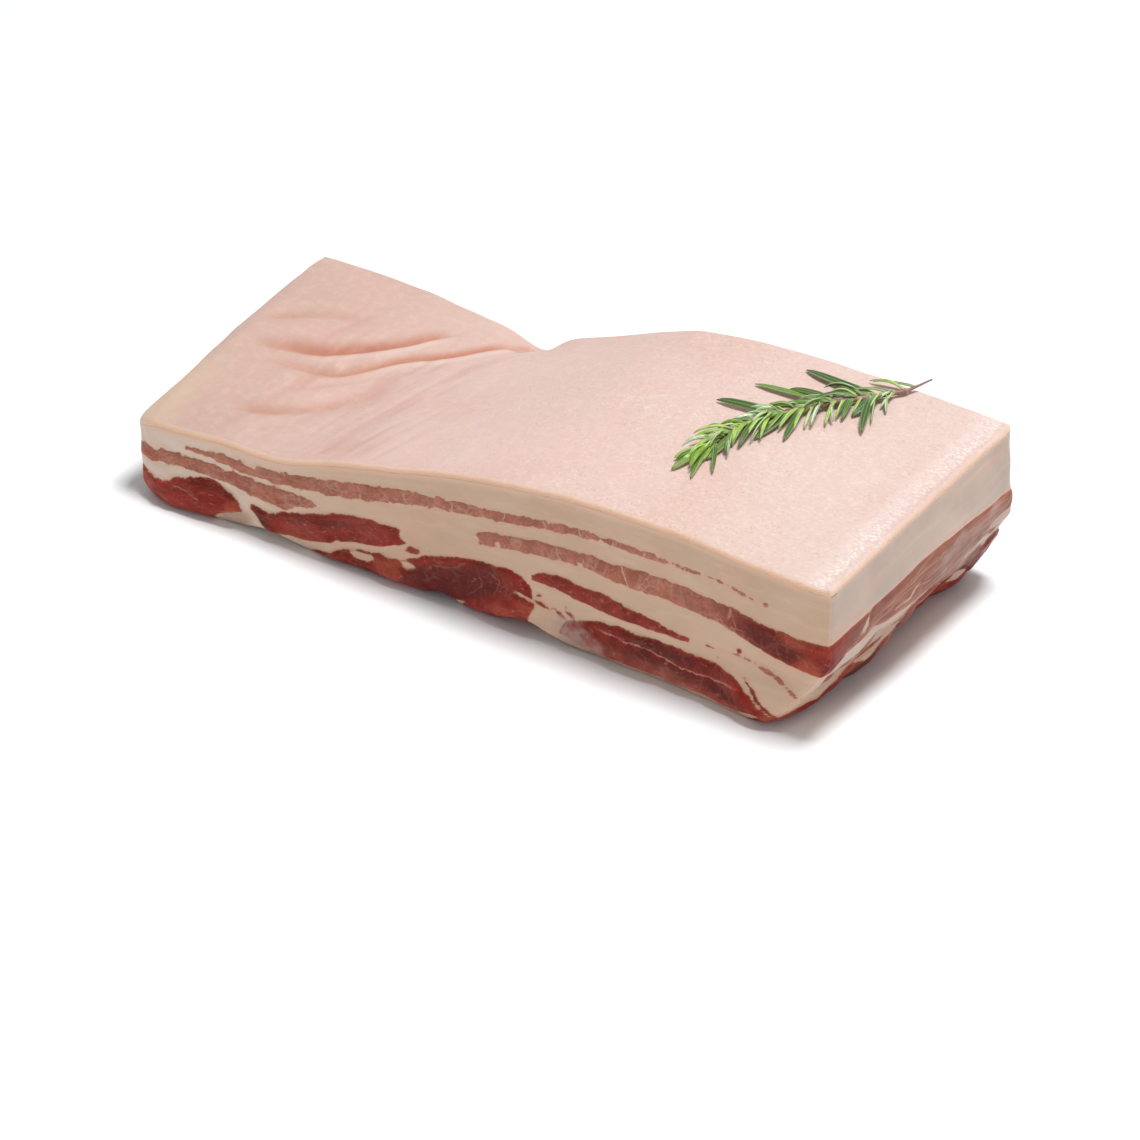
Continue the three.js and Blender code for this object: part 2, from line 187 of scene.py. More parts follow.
front_rind = through([
    [-150, 33.5], [-137, 34.9], [-113, 37.2], [-88, 37.8], [-72, 42], [-58, 46.4], [-36, 51.8],
    [-9, 58.6], [16, 63.5], [45, 67], [82, 68], [119, 65.7], [150, 65.2],
])
back_rind = through([
    [-150, 43.4], [-103, 42.8], [-70, 39.4], [-48, 41.3], [-30, 45.8], [-11, 53.2], [7, 61],
    [24, 66.6], [59, 70.4], [110, 70.6], [150, 69.4],
])


def base_height(x, y):
    """The rind without its creases, which the muscles below it follow."""
    across = (y + HALF_WIDTH) / (2 * HALF_WIDTH)
    notch_width = np.where(x < NOTCH_AT, 12, 9)
    notch = NOTCH_DEPTH * bell(x - NOTCH_AT, notch_width) * bell(HALF_WIDTH - y, 17)
    crown = lerp(FLANK_CROWN, CROWN, fade(x, -HALF_LENGTH, -75)) * (1 - (2 * across - 1) ** 2)
    return lerp(front_rind(x), back_rind(x), np.clip(across, 0, 1)) + crown - notch


height_along = [round(float(base_height(x, 0)), 1) for x in (-140, 0, 140)]
print("rind height at both ends and in the middle:", height_along)

# %% The creases
# Each crease: the stations [x, y] of its valley, then its depth, and how wide it is on its far side
# and on its near side, each at its first and its last end. "peak" is where along its length it
# begins to run out. From "fold" on it is so sharp that its near lip hangs over the valley.
CREASES = [
    {"line": [[-148, -8], [-136, -5], [-124, -1], [-112, 2], [-104, 8], [-91, 21], [-82, 35],
              [-77, 43]],
     "depth": [2.7, 2.0], "far": [6, 4.2], "near": [5, 0.55], "peak": 0.8, "fold": 0.5},
    {"line": [[-138, -20], [-122, -13], [-105, -8], [-97, -3], [-84, 14], [-69, 27], [-60, 40],
              [-55, 51]],
     "depth": [2.2, 2.2], "far": [4.5, 3.8], "near": [4, 0.55], "peak": 0.84, "fold": 0.6},
    {"line": [[-130, -45], [-122, -43], [-111, -40], [-104, -36], [-95, -29], [-85, -17], [-74, 4]],
     "depth": [2.3, 1.4], "far": [5, 5], "near": [4, 6], "peak": 0.6, "fold": 2},
    {"line": [[-150, 4], [-138, 15], [-124, 25], [-110, 29], [-98, 34]],
     "depth": [1.6, 1.1], "far": [5, 5], "near": [5, 6], "peak": 0.5, "fold": 2},
    {"line": [[-112, -27], [-103, -20], [-94, -10], [-80, 6]],
     "depth": [1.1, 0.9], "far": [3, 3], "near": [2, 3], "peak": 0.5, "fold": 2},
    {"line": [[-54, 44], [-53, 52], [-51, 60]],
     "depth": [1.0, 1.0], "far": [2.4, 2.2], "near": [2, 1], "peak": 0.6, "fold": 0.3},
    {"line": [[-108, -53], [-99, -47], [-92, -38]],
     "depth": [0.7, 0.6], "far": [3, 3], "near": [3, 3], "peak": 0.5, "fold": 2},
]
print("creases:", len(CREASES))


# %% Distance from a line
def polyline_offset(x, y, path):
    """Distance to a line, how far along it that nearest point is (0 to 1), and on which side."""
    nearest, along, side = np.full(x.shape, np.inf), np.zeros(x.shape), np.ones(x.shape)
    for i in range(len(path) - 1):
        step = path[i + 1] - path[i]
        t = np.clip(((x - path[i, 0]) * step[0] + (y - path[i, 1]) * step[1]) / (step @ step), 0, 1)
        dx, dy = x - path[i, 0] - t * step[0], y - path[i, 1] - t * step[1]
        away = np.hypot(dx, dy)
        closer = away < nearest
        nearest = np.where(closer, away, nearest)
        along = np.where(closer, (i + t) / (len(path) - 1), along)
        side = np.where(closer, np.where(step[0] * dy - step[1] * dx < 0, -1.0, 1.0), side)
    return nearest, along, side


def smooth_line(stations, pieces=48):
    """The same line with its corners rounded off, as points at even shares of its length."""
    stations = np.array(stations, float)
    share = np.concatenate([[0], np.cumsum(np.hypot(*np.diff(stations, axis=0).T))])
    share /= share[-1]
    t = np.linspace(0, 1, pieces + 1)
    return np.stack([through(np.stack([share, stations[:, c]], -1))(t) for c in (0, 1)], -1)


crease_paths = [smooth_line(crease["line"]) for crease in CREASES]
print("points on all creases:", sum(len(path) for path in crease_paths))

# %% Depth and painted shade of the creases
CREASE_REACH = 26  # beyond this distance a crease is not felt
FULL_CREASE = 2.3  # a crease of this depth is shaded in full


def crease_shape(x, y):
    """How deep the creases are at each point, and their painted shade there, below zero for painted
    light.
    """
    depth, inside = np.zeros(x.shape), np.zeros(x.shape)
    for crease, path in zip(CREASES, crease_paths):
        (low_x, low_y), (high_x, high_y) = path.min(0) - CREASE_REACH, path.max(0) + CREASE_REACH
        near = (x > low_x) & (x < high_x) & (y > low_y) & (y < high_y)
        away, along, side = polyline_offset(x[near], y[near], path)
        strength = fade(along, 0, 0.3) * (1 - fade(along, crease["peak"], 1.03) ** 2)
        towards_end = fade(along, 0.15, 0.75)
        deep, far, wide = (lerp(*crease[part], towards_end) for part in ("depth", "far", "near"))
        width = np.where(side > 0, far, wide)
        sharp = fade(along, crease["fold"] - 0.35, crease["fold"] + 0.15)
        roll = np.where(side > 0, 0, 0.05 + 0.15 * sharp)
        roll = roll * bell(away - 1.2 - 1.5 * wide, 1.4 + wide)
        depth[near] += deep * strength * (bell(away, width) - roll)
        # Besides the depth, each crease gives painted shade on its far slope and painted light on
        # the near lip of a sharp fold; the rind's colour is darkened and lightened by it.
        # A sharp fold's lip hides the lowest 2 mm, so the shading starts beyond them.
        far_shade = bell(np.maximum(away - 2 * sharp, 0), 0.8 * far)
        shaded = np.where(side > 0, far_shade, bell(away, 0.2 + 0.6 * wide))
        lit = np.where(side > 0, 0, 0.5 * sharp) * bell(away - 2.4 - 1.2 * wide, 1.8)
        inside[near] += strength * (shaded * lerp(0.5, 1, sharp) - lit) * deep / FULL_CREASE
    return depth, inside


# %% Loose folds and the whole rind
def slack(x, y):
    """Fine loose folds that run up towards the buckled back edge."""
    fan = x - 0.2 * y
    where = fade(x, -128, -104) * (1 - fade(x, -62, -8)) * fade(y, -64, -50) * (1 - fade(y, 18, 50))
    return where * (0.34 * noise(fan, y / 11, 0, 5.5, 21) + 0.18 * noise(fan, y / 7, 0, 2.6, 22))


def wrinkles(x, y):
    sag = 0.25 * noise(x, y, 0, 24, 1) + 0.12 * noise(x, y, 0, 10, 3)
    return slack(x, y) + sag + 0.04 * noise(x, y, 0, 3.5, 2)


def rind_height(x, y):
    return base_height(x, y) - crease_shape(x, y)[0]


across_flank = rind_height(np.full(5, -100.0), np.linspace(-60, 60, 5))
print("rind height across the flank:", across_flank.round(1))


# %% [markdown]
# ## The sides and the underside
#
# A knife has cut the four sides, so they are nearly flat. Lower down they give way: the muscles
# bulge and sag, the lower edges are round, and at the rib end the underside stops well short of
# the rind. Below, the muscles are pressed flat by the counter, with hollows between them.

# %% Sides and underside
UNDERCUT, UNDERCUT_FROM = 18.0, 33.0  # how far the rib end's foot stands back, and from what height
HOLLOWS = [  # [x at the front, depth, half width, bend, phase]
    [-90, 5, 17, 7, 0.4], [-14, 6, 9, 5, 5.2], [24, 8, 15, 8, 1.0],
]
SEAT = 1.4  # depth that the counter presses out of every hollow
EDGE_ROUND = 1.8  # radius of the rind's cut edges


def underside_height(x, y):
    hollow = np.zeros_like(x)
    for centre, depth, half_width, bend, phase in HOLLOWS:
        bent = centre + bend * (np.sin(y / 24 + phase) - sin(-HALF_WIDTH / 24 + phase))
        hollow = hollow + depth * bell(x - bent, half_width)
    return np.maximum(0, hollow - SEAT)


front_bulge = through([
    [-150, 1.6], [-134, 3.2], [-108, 0.8], [-90, 0], [70, 0], [100, 1.4], [130, 4],
])


def rib_end_inset(z, y):
    lobes = 1 + 0.1 * np.sin(y / 11) + 0.06 * np.sin(y / 5 + 1)
    bulge = 2 * bell(z - 38, 13) * fade(y, -HALF_WIDTH, 0)
    return UNDERCUT * lobes * np.clip((UNDERCUT_FROM - z) / UNDERCUT_FROM, 0, None) ** 1.2 - bulge


def flank_end_inset(z):
    return 1.2 * fade(-z, -17, -9) + 4 * np.clip((9 - z) / 9, 0, None) ** 2


def long_face_inset(z, x, side):
    seam = np.sin(x / 19 + side) + 0.6 * np.sin(x / 8 + 2 * side)
    bulge = np.where(side < 0, front_bulge(x) * (1 - fade(z, 6, 26)), 0)
    return 3.2 * np.clip((7 - z) / 7, 0, None) ** 2 - 0.5 * seam * bell(z - 12, 10) - bulge


print("the rib end's foot stands back by", round(float(rib_end_inset(0, 0)), 1), "mm")


# %% [markdown]
# ## The grid of a block
#
# Rind and flesh are both blocks that are carried onto curved surfaces. The block's skin is a grid
# that is welded along its edges, so the mesh is closed from the start. Its lines stand close
# together near the edges, where the rounding needs them, and evenly elsewhere.

# %% Block grid
def spaced(half, step, edge_steps=(0, 0.35, 0.8, 1.3, 1.8), fine=None):
    """Grid lines from -half to half, closer together near both ends and inside `fine`."""
    inner = half - edge_steps[-1]
    marks = [-inner, inner] if fine is None else [-inner, fine[0], fine[1], inner]
    steps = [step] if fine is None else [step, fine[2], step]
    runs = [
        np.linspace(a, b, max(2, int(round((b - a) / s)) + 1))[:-1]
        for a, b, s in zip(marks, marks[1:], steps)
    ]
    ends = half - np.array(edge_steps[:-1])
    return np.concatenate([-ends, *runs, [inner], ends[::-1]])


print("grid lines over 20 mm:", spaced(10, 4).round(1))


# %% Block skin
def block_skin(counts, hidden, skip):
    """The lattice places (i, j, k) on the skin of a block, and the faces that join them.

    The hidden level, which is the lowest or the highest, keeps only every skip-th line.
    """
    nx, ny, nz = counts
    lowest = hidden == 0
    place = lambda i, j, k: (i * ny + j) * nz + k
    coarse = [np.unique(np.append(np.arange(0, n, skip), n - 1)) for n in (nx, ny)]
    faces = []

    def grid(rows, columns, at, turned):
        a = at(rows[:, None], columns[None, :])
        quads = np.stack([a[:-1, :-1], a[1:, :-1], a[1:, 1:], a[:-1, 1:]], -1).reshape(-1, 4)
        faces.extend((quads[:, ::-1] if turned else quads).tolist())

    shown = nz - 1 if lowest else 0
    grid(np.arange(nx), np.arange(ny), lambda i, j: place(i, j, shown), not lowest)
    grid(*coarse, lambda i, j: place(i, j, hidden), lowest)
    levels = np.arange(1, nz) if lowest else np.arange(nz - 1)
    walls = [
        (nx, coarse[0], lambda s, t: place(s, 0 * t, t), False),
        (nx, coarse[0], lambda s, t: place(s, ny - 1 + 0 * t, t), True),
        (ny, coarse[1], lambda s, t: place(nx - 1 + 0 * t, s, t), False),
        (ny, coarse[1], lambda s, t: place(0 * t, s, t), True),
    ]
    for count, marks, at, turned in walls:
        grid(np.arange(count), levels, at, turned)
        beside = 1 if lowest else nz - 2
        for a, b in zip(marks, marks[1:]):
            fine = [int(at(s, beside)) for s in range(a, b + 1)]
            far = [int(at(a, hidden)), int(at(b, hidden))]
            ring = far + fine[::-1] if lowest else fine + far[::-1]
            faces.append(ring[::-1] if turned else ring)
    used, welded = np.unique(np.concatenate([np.array(f) for f in faces]), return_inverse=True)
    welded, cut = welded.tolist(), np.cumsum([0] + [len(f) for f in faces]).tolist()
    ijk = np.stack(np.unravel_index(used, counts), -1)
    return ijk, [welded[a:b] for a, b in zip(cut, cut[1:])]


# %% Outline of the slab
END_FLARE = 3.4  # how much further out each end stands at the back than at the front
FLANK_CORNER = 3.6  # how far the flank end's front corner is drawn out
FLANK_FRONT_ROUND, FLANK_BACK_ROUND, RIB_ROUND = 2.2, 0.3, 0.9  # how rounded its corners are
RIB_FOOT_CUT, RIB_FOOT_TOP = 3.2, 32  # the rib end's front corner, drawn in below that height


def outline(px, py, z):
    """Draws a point of the plain rectangle in, to where the slab's sides really are at height z."""
    u, v = px / HALF_LENGTH, py / HALF_WIDTH
    drawn_out = np.where(u < 0, FLANK_CORNER * fade(-v, 0.4, 1), 0)
    x = u * (HALF_LENGTH + (END_FLARE / 2) * v + drawn_out)
    end = np.where(u > 0, rib_end_inset(z, py), flank_end_inset(z)) * np.abs(u) ** 4
    round_by = np.where(u < 0, np.where(v < 0, FLANK_FRONT_ROUND, FLANK_BACK_ROUND), RIB_ROUND)
    foot_cut = RIB_FOOT_CUT * np.clip((RIB_FOOT_TOP - z) / RIB_FOOT_TOP, 0, 1)
    corner = round_by * np.abs(u * v) ** 30
    corner = corner + np.where((u > 0) & (v < 0), foot_cut, 0) * np.abs(u * v) ** 12
    side = long_face_inset(z, x, np.sign(v)) * np.abs(v) ** 8
    ripple_x = 0.35 * noise(0, py, z, 9, 5) * np.abs(u) ** 8
    ripple_y = 0.3 * noise(x, 0, z, 11, 6) * np.abs(v) ** 8
    return (
        x - np.sign(u) * (end + corner) + ripple_x,
        py - np.sign(v) * (side + corner) + ripple_y,
    )


def edge_droop(x, y):
    """The rind curls down a little at the flank end's edge, most of all at the front."""
    return lerp(2.6, 0.8, fade(y, 0, 50)) * fade(-x, HALF_LENGTH - 10, HALF_LENGTH + 3) ** 2


corner_x, corner_y = outline(np.array([HALF_LENGTH]), np.array([HALF_WIDTH]), np.array([69.0]))
print("the rind's back corner at the rib end:", corner_x.round(1), corner_y.round(1))


# %% From points to a piece
def mesh_piece(name, points_mm, faces, attributes=None, flat=None):
    """A smooth mesh from points in millimetres, with one number or vector per point as attributes.

    Faces whose points are all marked flat get no smoothing, which keeps their rim crisp.
    """
    mesh = bpy.data.meshes.new(name)
    mesh.from_pydata((points_mm * MM).tolist(), [], faces)
    smooth = [flat is None or not all(flat[v] for v in face) for face in faces]
    mesh.polygons.foreach_set("use_smooth", smooth)
    for label, values in (attributes or {}).items():
        values = np.asarray(values, np.float32)
        kind, key = ("FLOAT_VECTOR", "vector") if values.ndim == 2 else ("FLOAT", "value")
        mesh.attributes.new(label, kind, "POINT").data.foreach_set(key, values.ravel())
    mesh.update()
    piece = bpy.data.objects.new(name, mesh)
    bpy.context.scene.collection.objects.link(piece)
    print(f"{name}: {len(points_mm)} points, {sum(len(f) - 2 for f in faces)} triangles")
    return piece


# %% [markdown]
# ## The rind
#
# The rind is a tough skin about two and a half millimetres thick. It is made as a closed sheet of
# that thickness, so that its cut edge is real. The edge is rounded by sliding the first few grid
# lines on both sides of it around a quarter circle.

# %% Rind grid
RIND_THICKNESS = 2.6
RIND_LEVELS = np.array([RIND_THICKNESS, 2.1, 1.5, 1, 0.6, 0.25, 0])  # depth below the rind's top

rind_x = spaced(HALF_LENGTH, 1.1, fine=(-146, -44, 0.58))
rind_y = spaced(HALF_WIDTH, 0.72, fine=(-20, 58, 0.62))
ijk, rind_faces = block_skin((len(rind_x), len(rind_y), len(RIND_LEVELS)), hidden=0, skip=4)
px, py, depth = rind_x[ijk[:, 0]], rind_y[ijk[:, 1]], RIND_LEVELS[ijk[:, 2]]
print("rind grid:", len(rind_x), "by", len(rind_y), "lines on", len(RIND_LEVELS), "levels")

# %% Rounded edges of the rind
# How far each point is from the upright cut faces, and from that the angle of the rounded edge.
to_end, to_side = HALF_LENGTH - np.abs(px), HALF_WIDTH - np.abs(py)
on_top = ijk[:, 2] == len(RIND_LEVELS) - 1
on_end, on_side = to_end < 1e-6, to_side < 1e-6
turn_end = np.clip(1 - to_end / EDGE_ROUND, 0, 1) * pi / 4
turn_side = np.clip(1 - to_side / EDGE_ROUND, 0, 1) * pi / 4
turn_depth = np.clip(1 - depth / EDGE_ROUND, 0, 1) * pi / 4

u_sign, v_sign = np.sign(px), np.sign(py)
inset_end = np.where(on_top, EDGE_ROUND * (1 - np.sin(turn_end)), 0)
inset_side = np.where(on_top, EDGE_ROUND * (1 - np.sin(turn_side)), 0)
in_wall = EDGE_ROUND * (1 - np.cos(turn_depth))
inset_end = np.where((to_end < EDGE_ROUND) & on_top, inset_end, to_end)
inset_end = np.where(on_end, in_wall, inset_end)
inset_side = np.where((to_side < EDGE_ROUND) & on_top, inset_side, to_side)
inset_side = np.where(on_side, in_wall, inset_side)
sx, sy = u_sign * (HALF_LENGTH - inset_end), v_sign * (HALF_WIDTH - inset_side)
drop = EDGE_ROUND * np.maximum(1 - np.cos(turn_end), 1 - np.cos(turn_side))
wall_drop = np.where(depth < EDGE_ROUND, EDGE_ROUND * (1 - np.sin(turn_depth)), depth)
drop = np.where(on_top, drop, wall_drop)
print("points on the rounded edge:", int(np.sum(drop != depth)))

# %% Rind
level = base_height(sx, sy)
ox, oy = outline(sx, sy, level - depth)
valley, crease_shading = crease_shape(ox, oy)
top = base_height(ox, oy) - valley + wrinkles(ox, oy) - edge_droop(ox, oy)
rind_points = np.stack([ox, oy, top - drop], -1)

rim = np.minimum(to_end, to_side)  # distance from the nearest cut edge
rind = mesh_piece("rind", rind_points, rind_faces, {
    # The creases' painted shade, below zero where the lip of a sharp fold is painted light.
    "fold": crease_shading,
    # The loose folds, whose valleys the rind's colour darkens as painted shade.
    "slack": slack(ox, oy),
    "rim": np.where(on_top, rim, 0),
    "depth": np.where(on_top, 0, depth),
    "rib_side": np.where(px > 0, to_end, 99),
}, flat=ijk[:, 2] == 0)
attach(rind, "root")


# %% [markdown]
# ## The muscles
#
# Each muscle is a flat lens that runs from the front cut to the back cut. It is drawn as stations
# along the front cut, [x, height of its middle, thickness], or [x, height of its top] for the ones
# that lie on the counter. For any point of the slab this gives a signed distance: above zero it is
# inside the muscle and below zero in the fat. The distance is what the flesh's material is
# painted from, which keeps the border between lean and fat crisp at any mesh size.

# %% Muscle stations
# "tone" goes from 0, pale, to 1, dark. A muscle marked "under" lies on the counter. On its way to
# the middle of the slab each one rises by "sway" and gets thicker by the share "swell". At the rib
# end it gets darker by "deepens" and longer by "reach". The "band" is drawn anew on the rib end.
MUSCLES = {
    "lean_upper_streak": {"tone": 0.1, "sway": 1, "swell": 0.1, "stations": [
        [-128, 27.8, 0.9], [-113, 28.6, 3.6], [-92, 28.6, 5], [-70, 32, 6.4], [-49, 36.3, 6.8],
        [-23, 42.4, 5.4], [0, 45.8, 4.4], [30, 50.3, 3.9], [55, 53.4, 2.6], [82, 53.4, 1.6],
    ]},
    "lean_flank_streak": {"tone": 0.15, "sway": 1, "swell": 0.1, "stations": [
        [-158, 17.6, 5], [-133, 21.3, 5.4], [-113, 21.8, 5.6], [-96, 20.8, 7.6], [-84, 20.8, 8],
        [-75, 22.4, 5], [-69, 23.4, 1],
    ]},
    "lean_main_band": {"tone": 0.3, "band": True, "deepens": 0.64, "sway": 4.5, "swell": 0.3,
                       "stations": [
        [0, 33.6, 3.4], [3, 34.4, 5], [8, 36, 6], [20, 38.4, 6.4], [43, 41.3, 6], [65, 41.3, 8.2],
        [84, 41.8, 9], [104, 40.2, 8.6], [119, 37.4, 10.6], [134, 35, 12.6], [160, 34, 16],
    ]},
    "lean_wedge": {"tone": 0.82, "sway": 1.5, "swell": 0.1, "stations": [
        [27, 26.6, 1.6], [30, 27.6, 4.2], [36, 28.2, 5.6], [47, 27, 6.6], [62, 26, 7],
        [78, 24.7, 4], [92, 23.7, 1],
    ]},
    "lean_flank_muscle": {"tone": 0.9, "under": True, "sway": 1, "stations": [
        [-158, 12], [-149, 11.8], [-139, 11], [-131, 14.6], [-121, 17.8], [-114, 17.2],
        [-107, 14], [-103, 8.5], [-101, 2],
    ]},
    "lean_middle_muscle": {"tone": 0.85, "sway": 1, "swell": 0.1, "stations": [
        [-99, 11.8, 2], [-92, 8.6, 8], [-84, 9.6, 10], [-71, 12.8, 12.6], [-54, 18.4, 12.4],
        [-41, 20.4, 10.8], [-31, 23, 6], [-26, 24, 1.4],
    ]},
    "lean_centre_muscle": {"tone": 0.95, "under": True, "sway": 1, "stations": [
        [-73, 1], [-66, 3.4], [-56, 8.4], [-43, 11.6], [-31, 13], [-20, 18.6], [-6, 23],
        [8, 25.6], [19, 26], [25, 22], [28, 13], [29, 2],
    ]},
    "lean_rib_muscle": {"tone": 0.95, "under": True, "sway": 1.5, "reach": 13, "stations": [
        [37, 5], [41, 12.4], [55, 17.8], [74, 18.8], [96, 18.8], [108, 17.4], [116, 13.8],
        [123, 9.4], [130, 5.6], [139, 2.5],
    ]},
}
# Threads of lean in the fat, too thin to be muscles of their own.
THREADS = {
    "upper_dashes": {"tone": 0.1, "stations": [
        [78, 53.5, 1.5], [86, 54.1, 1.5], [94, 53.7, 1.2], [104, 53.4, 1], [114, 51.8, 0.7],
        [123, 50.5, 0.3],
    ]},
    "rib_thread": {"tone": 0.3, "stations": [
        [99, 24, 0.2], [112, 25, 0.4], [118, 24.6, 1], [124, 23.2, 1.6], [130, 20.8, 2.1],
        [135, 17.6, 2.1], [138, 15, 0.8],
    ]},
}
print("muscles:", len(MUSCLES), "and threads:", len(THREADS))

# %% Distance from a muscle
DRIFT = 3.0  # how far a muscle strays along X on its way to the back
BLUNT = 0.4  # how far its end stands out past its last station
FAR_OUT = -50.0  # the distance of a point that is nowhere near
# The main band where the rib end's cut shows it: [y, height of its middle, thickness].
RIB_BAND = [
    [-62, 35.4, 12], [-51, 37.6, 9.6], [-42, 38.2, 9], [-34, 40, 8.6], [-28, 39, 10.4],
    [-14, 38.6, 12], [-2, 38.4, 15], [11, 36.6, 19], [22, 36.2, 19.4], [35, 36.4, 17],
    [44, 37.6, 13.6], [54, 36.4, 14], [62, 36, 13],
]


def lean_distance(x, y, z, order, muscle):
    """Signed distance from one muscle's surface in millimetres, above zero inside it."""
    stations = np.array(muscle["stations"], float)
    height = through(stations)
    inward = fade(y, -HALF_WIDTH, 0) * (1 - fade(y, 0.2 * HALF_WIDTH, 1.5 * HALF_WIDTH))
    drift = DRIFT * np.sin((y + HALF_WIDTH) / 40)
    drawn_out = muscle.get("reach", 0) * fade(y, -HALF_WIDTH, -0.5 * HALF_WIDTH)
    first, last = stations[0, 0], stations[-1, 0]
    share = np.clip((x - drift - first) / (last - first + drawn_out), 0, 1)
    front_x = x - drift - drawn_out * share**3
    follow = base_height(x, y) / base_height(front_x, -HALF_WIDTH + 0 * y)
    middle = height(front_x) * follow + muscle.get("sway", 0) * inward
    slope = (height(front_x + 0.5) - height(front_x - 0.5)) * follow
    if muscle.get("under"):
        across = middle - z
    else:
        # Seen at the back cut, some muscles are thinner than at the front and some are thicker.
        back = lerp(1, lerp(0.82, 1.08, scatter(order, 1)), fade(y, -HALF_WIDTH, HALF_WIDTH))
        half = through(stations, 2)(front_x) * (1 + muscle.get("swell", 0) * inward) * back / 2
        across = half - np.abs(z - middle)
    across = across / np.sqrt(1 + slope**2)
    if muscle.get("band"):
        rib_half = through(RIB_BAND, 2)(y) / 2 - np.abs(z - through(RIB_BAND)(y))
        across = lerp(across, rib_half, fade(x, 118, 138) * fade(y, -61, -50))
    return np.minimum(across, np.minimum(front_x - first, last - front_x) + BLUNT)


middle_of_band = lean_distance(50.0, -HALF_WIDTH, 41.3, 2, MUSCLES["lean_main_band"])
print("the main band's middle is", round(float(middle_of_band), 1), "mm inside it")


# %% [markdown]
# ## Lumps and seams
#
# On top of the muscles a cut face shows smaller things: a lump of fat inside the lean, a rag of
# lean in the fat, a white seam between two muscles, a patch that light shines through. They belong
# to one cut, so they are drawn on that cut as ellipses and lines, and fade a few millimetres in.

# %% Lumps on the front cut
# Each lump: [along, up, half length, half height, tilt in degrees]. On the front cut "along" is x,
# and on the rib end it is y. "film" is the thin white skin over a muscle, and "beige" is dried fat.
FRONT_LUMPS = {
    "fat": [
        [-106, 2.2, 10.5, 5.2, 12], [-27.5, 23, 4.2, 2.6, -20], [-49, 7.6, 4.5, 1.9, 8],
        [-28.5, 11.6, 3, 1.5, 0], [-60, 9.6, 1.8, 1.1, 30], [-17, 20.5, 2.5, 1, 20],
        [-6, 2.5, 2.5, 1, 30], [11.6, 34.6, 0.9, 2.4, 12], [118, 2.4, 4.2, 1.5, 14],
        [29, 6, 4, 8, 0], [42, 2.6, 11, 3.2, -16], [58, 0.6, 14, 2.2, 0], [72, 0.8, 20, 2.5, 0],
        [99, 0.6, 16, 2.2, 0], [0.8, 33.6, 2, 2.4, 60], [24.5, 16.4, 4, 0.7, -10],
        [38.6, 37.2, 0.8, 2.2, 20], [46.5, 38.8, 1.2, 1.6, 40],
    ],
    "lean": [
        [-25.5, 19, 3, 1.6, 12], [23.5, 20, 2.6, 3, 20], [24.6, 12.6, 2.3, 2.6, 0],
        [30.5, 16.4, 3.4, 0.8, -12], [36, 16.4, 1.2, 0.5, 0], [27.5, 10.4, 2.6, 0.8, 15],
        [101, 24.4, 0.9, 0.5, 0], [113, 27, 1, 0.9, 0], [29.6, 19.8, 1.5, 0.7, 30],
        [38.5, 14.8, 2.4, 0.9, -30], [43, 16.6, 1.6, 0.7, -20], [122, 12.6, 5, 0.9, -42],
        [127, 8.6, 5, 0.9, -40], [118, 16, 3.6, 0.7, -34],
    ],
    "orange": [
        [-37, 8, 6.5, 7, 0], [-149, 8, 6, 9, 0], [-148, 17.5, 6, 3.4, 0], [-79, 6, 6, 2, 10],
        [-107, 9.5, 3.4, 3.4, -50], [129, 4, 5, 4, 0], [141, 29, 5, 6, 0], [24, 12, 4, 4, 0],
        [-25, 18.6, 3, 2, 0], [15, 6, 6, 4, 0], [95, 3, 18, 2.4, 0], [136, 40, 6, 3, 0],
    ],
    "shade": [
        [-118, 15.6, 7, 1.6, -8], [-94, 9, 3.5, 3.6, 0], [-49, 2.4, 6, 1.8, 0],
        [-66, 17.5, 14, 1.6, 14], [-8, 12, 24, 7, 14], [6, 22, 6, 3, 0], [85, 15.6, 22, 2.6, -2],
        [-8, 8, 5, 6, 0], [108, 8.5, 10, 3, -10], [82, 9.5, 22, 3, -3], [127, 36, 14, 5, -14],
    ],
    "film": [[44, 8.6, 13, 5.6, -14], [40, 13, 8, 3, 20]],
    "beige": [[52, 3.6, 16, 4.6, 6], [-107, 4, 8, 4, 20], [80, 6, 26, 4, -3]],
}
print("lumps on the front cut:", {kind: len(lumps) for kind, lumps in FRONT_LUMPS.items()})

# %% Lumps on the rib end
RIB_LUMPS = {
    "fat": [
        [-38.5, 39, 1, 5.5, -34], [47, 29.6, 17, 2.4, 4], [53, 34.6, 9, 1.5, -4],
        [-14, 36.6, 12, 0.5, 3], [8, 40.5, 11, 0.5, 5],
    ],
    "lean": [
        [-29, 6.5, 10, 5, 8], [-12, 13, 4.6, 3.6, 24], [1, 18, 6, 4.6, 30], [11, 22, 9, 3.4, 14],
        [32, 24, 15, 6.4, -8], [54, 18.6, 13, 7, 0], [30, 15, 12, 1.2, -6], [-24, 17, 9, 1.2, 16],
        [-49, 20, 7, 1.1, 30], [-33, 24.5, 8, 1, 24], [-10, 27, 7, 0.8, 14],
    ],
    "orange": [
        [-27, 11, 7, 2.4, 10], [-12, 15, 4, 4, 0], [50, 41.5, 16, 3.6, 0], [-58, 36, 5, 6, 0],
        [14, 23, 6, 3, 0],
    ],
    "shade": [
        [-24, 5, 9, 5, 0], [0, 15.5, 7, 5, 10], [29, 21, 15, 6, -8], [50, 14, 12, 6, 0],
        [-13, 12, 4, 4, 0],
    ],
    "film": [[30, 38, 26, 5, 4], [40, 28, 20, 3, 0]],
    "beige": [[-12, 22, 48, 9, 8]],
}
print("lumps on the rib end:", {kind: len(lumps) for kind, lumps in RIB_LUMPS.items()})

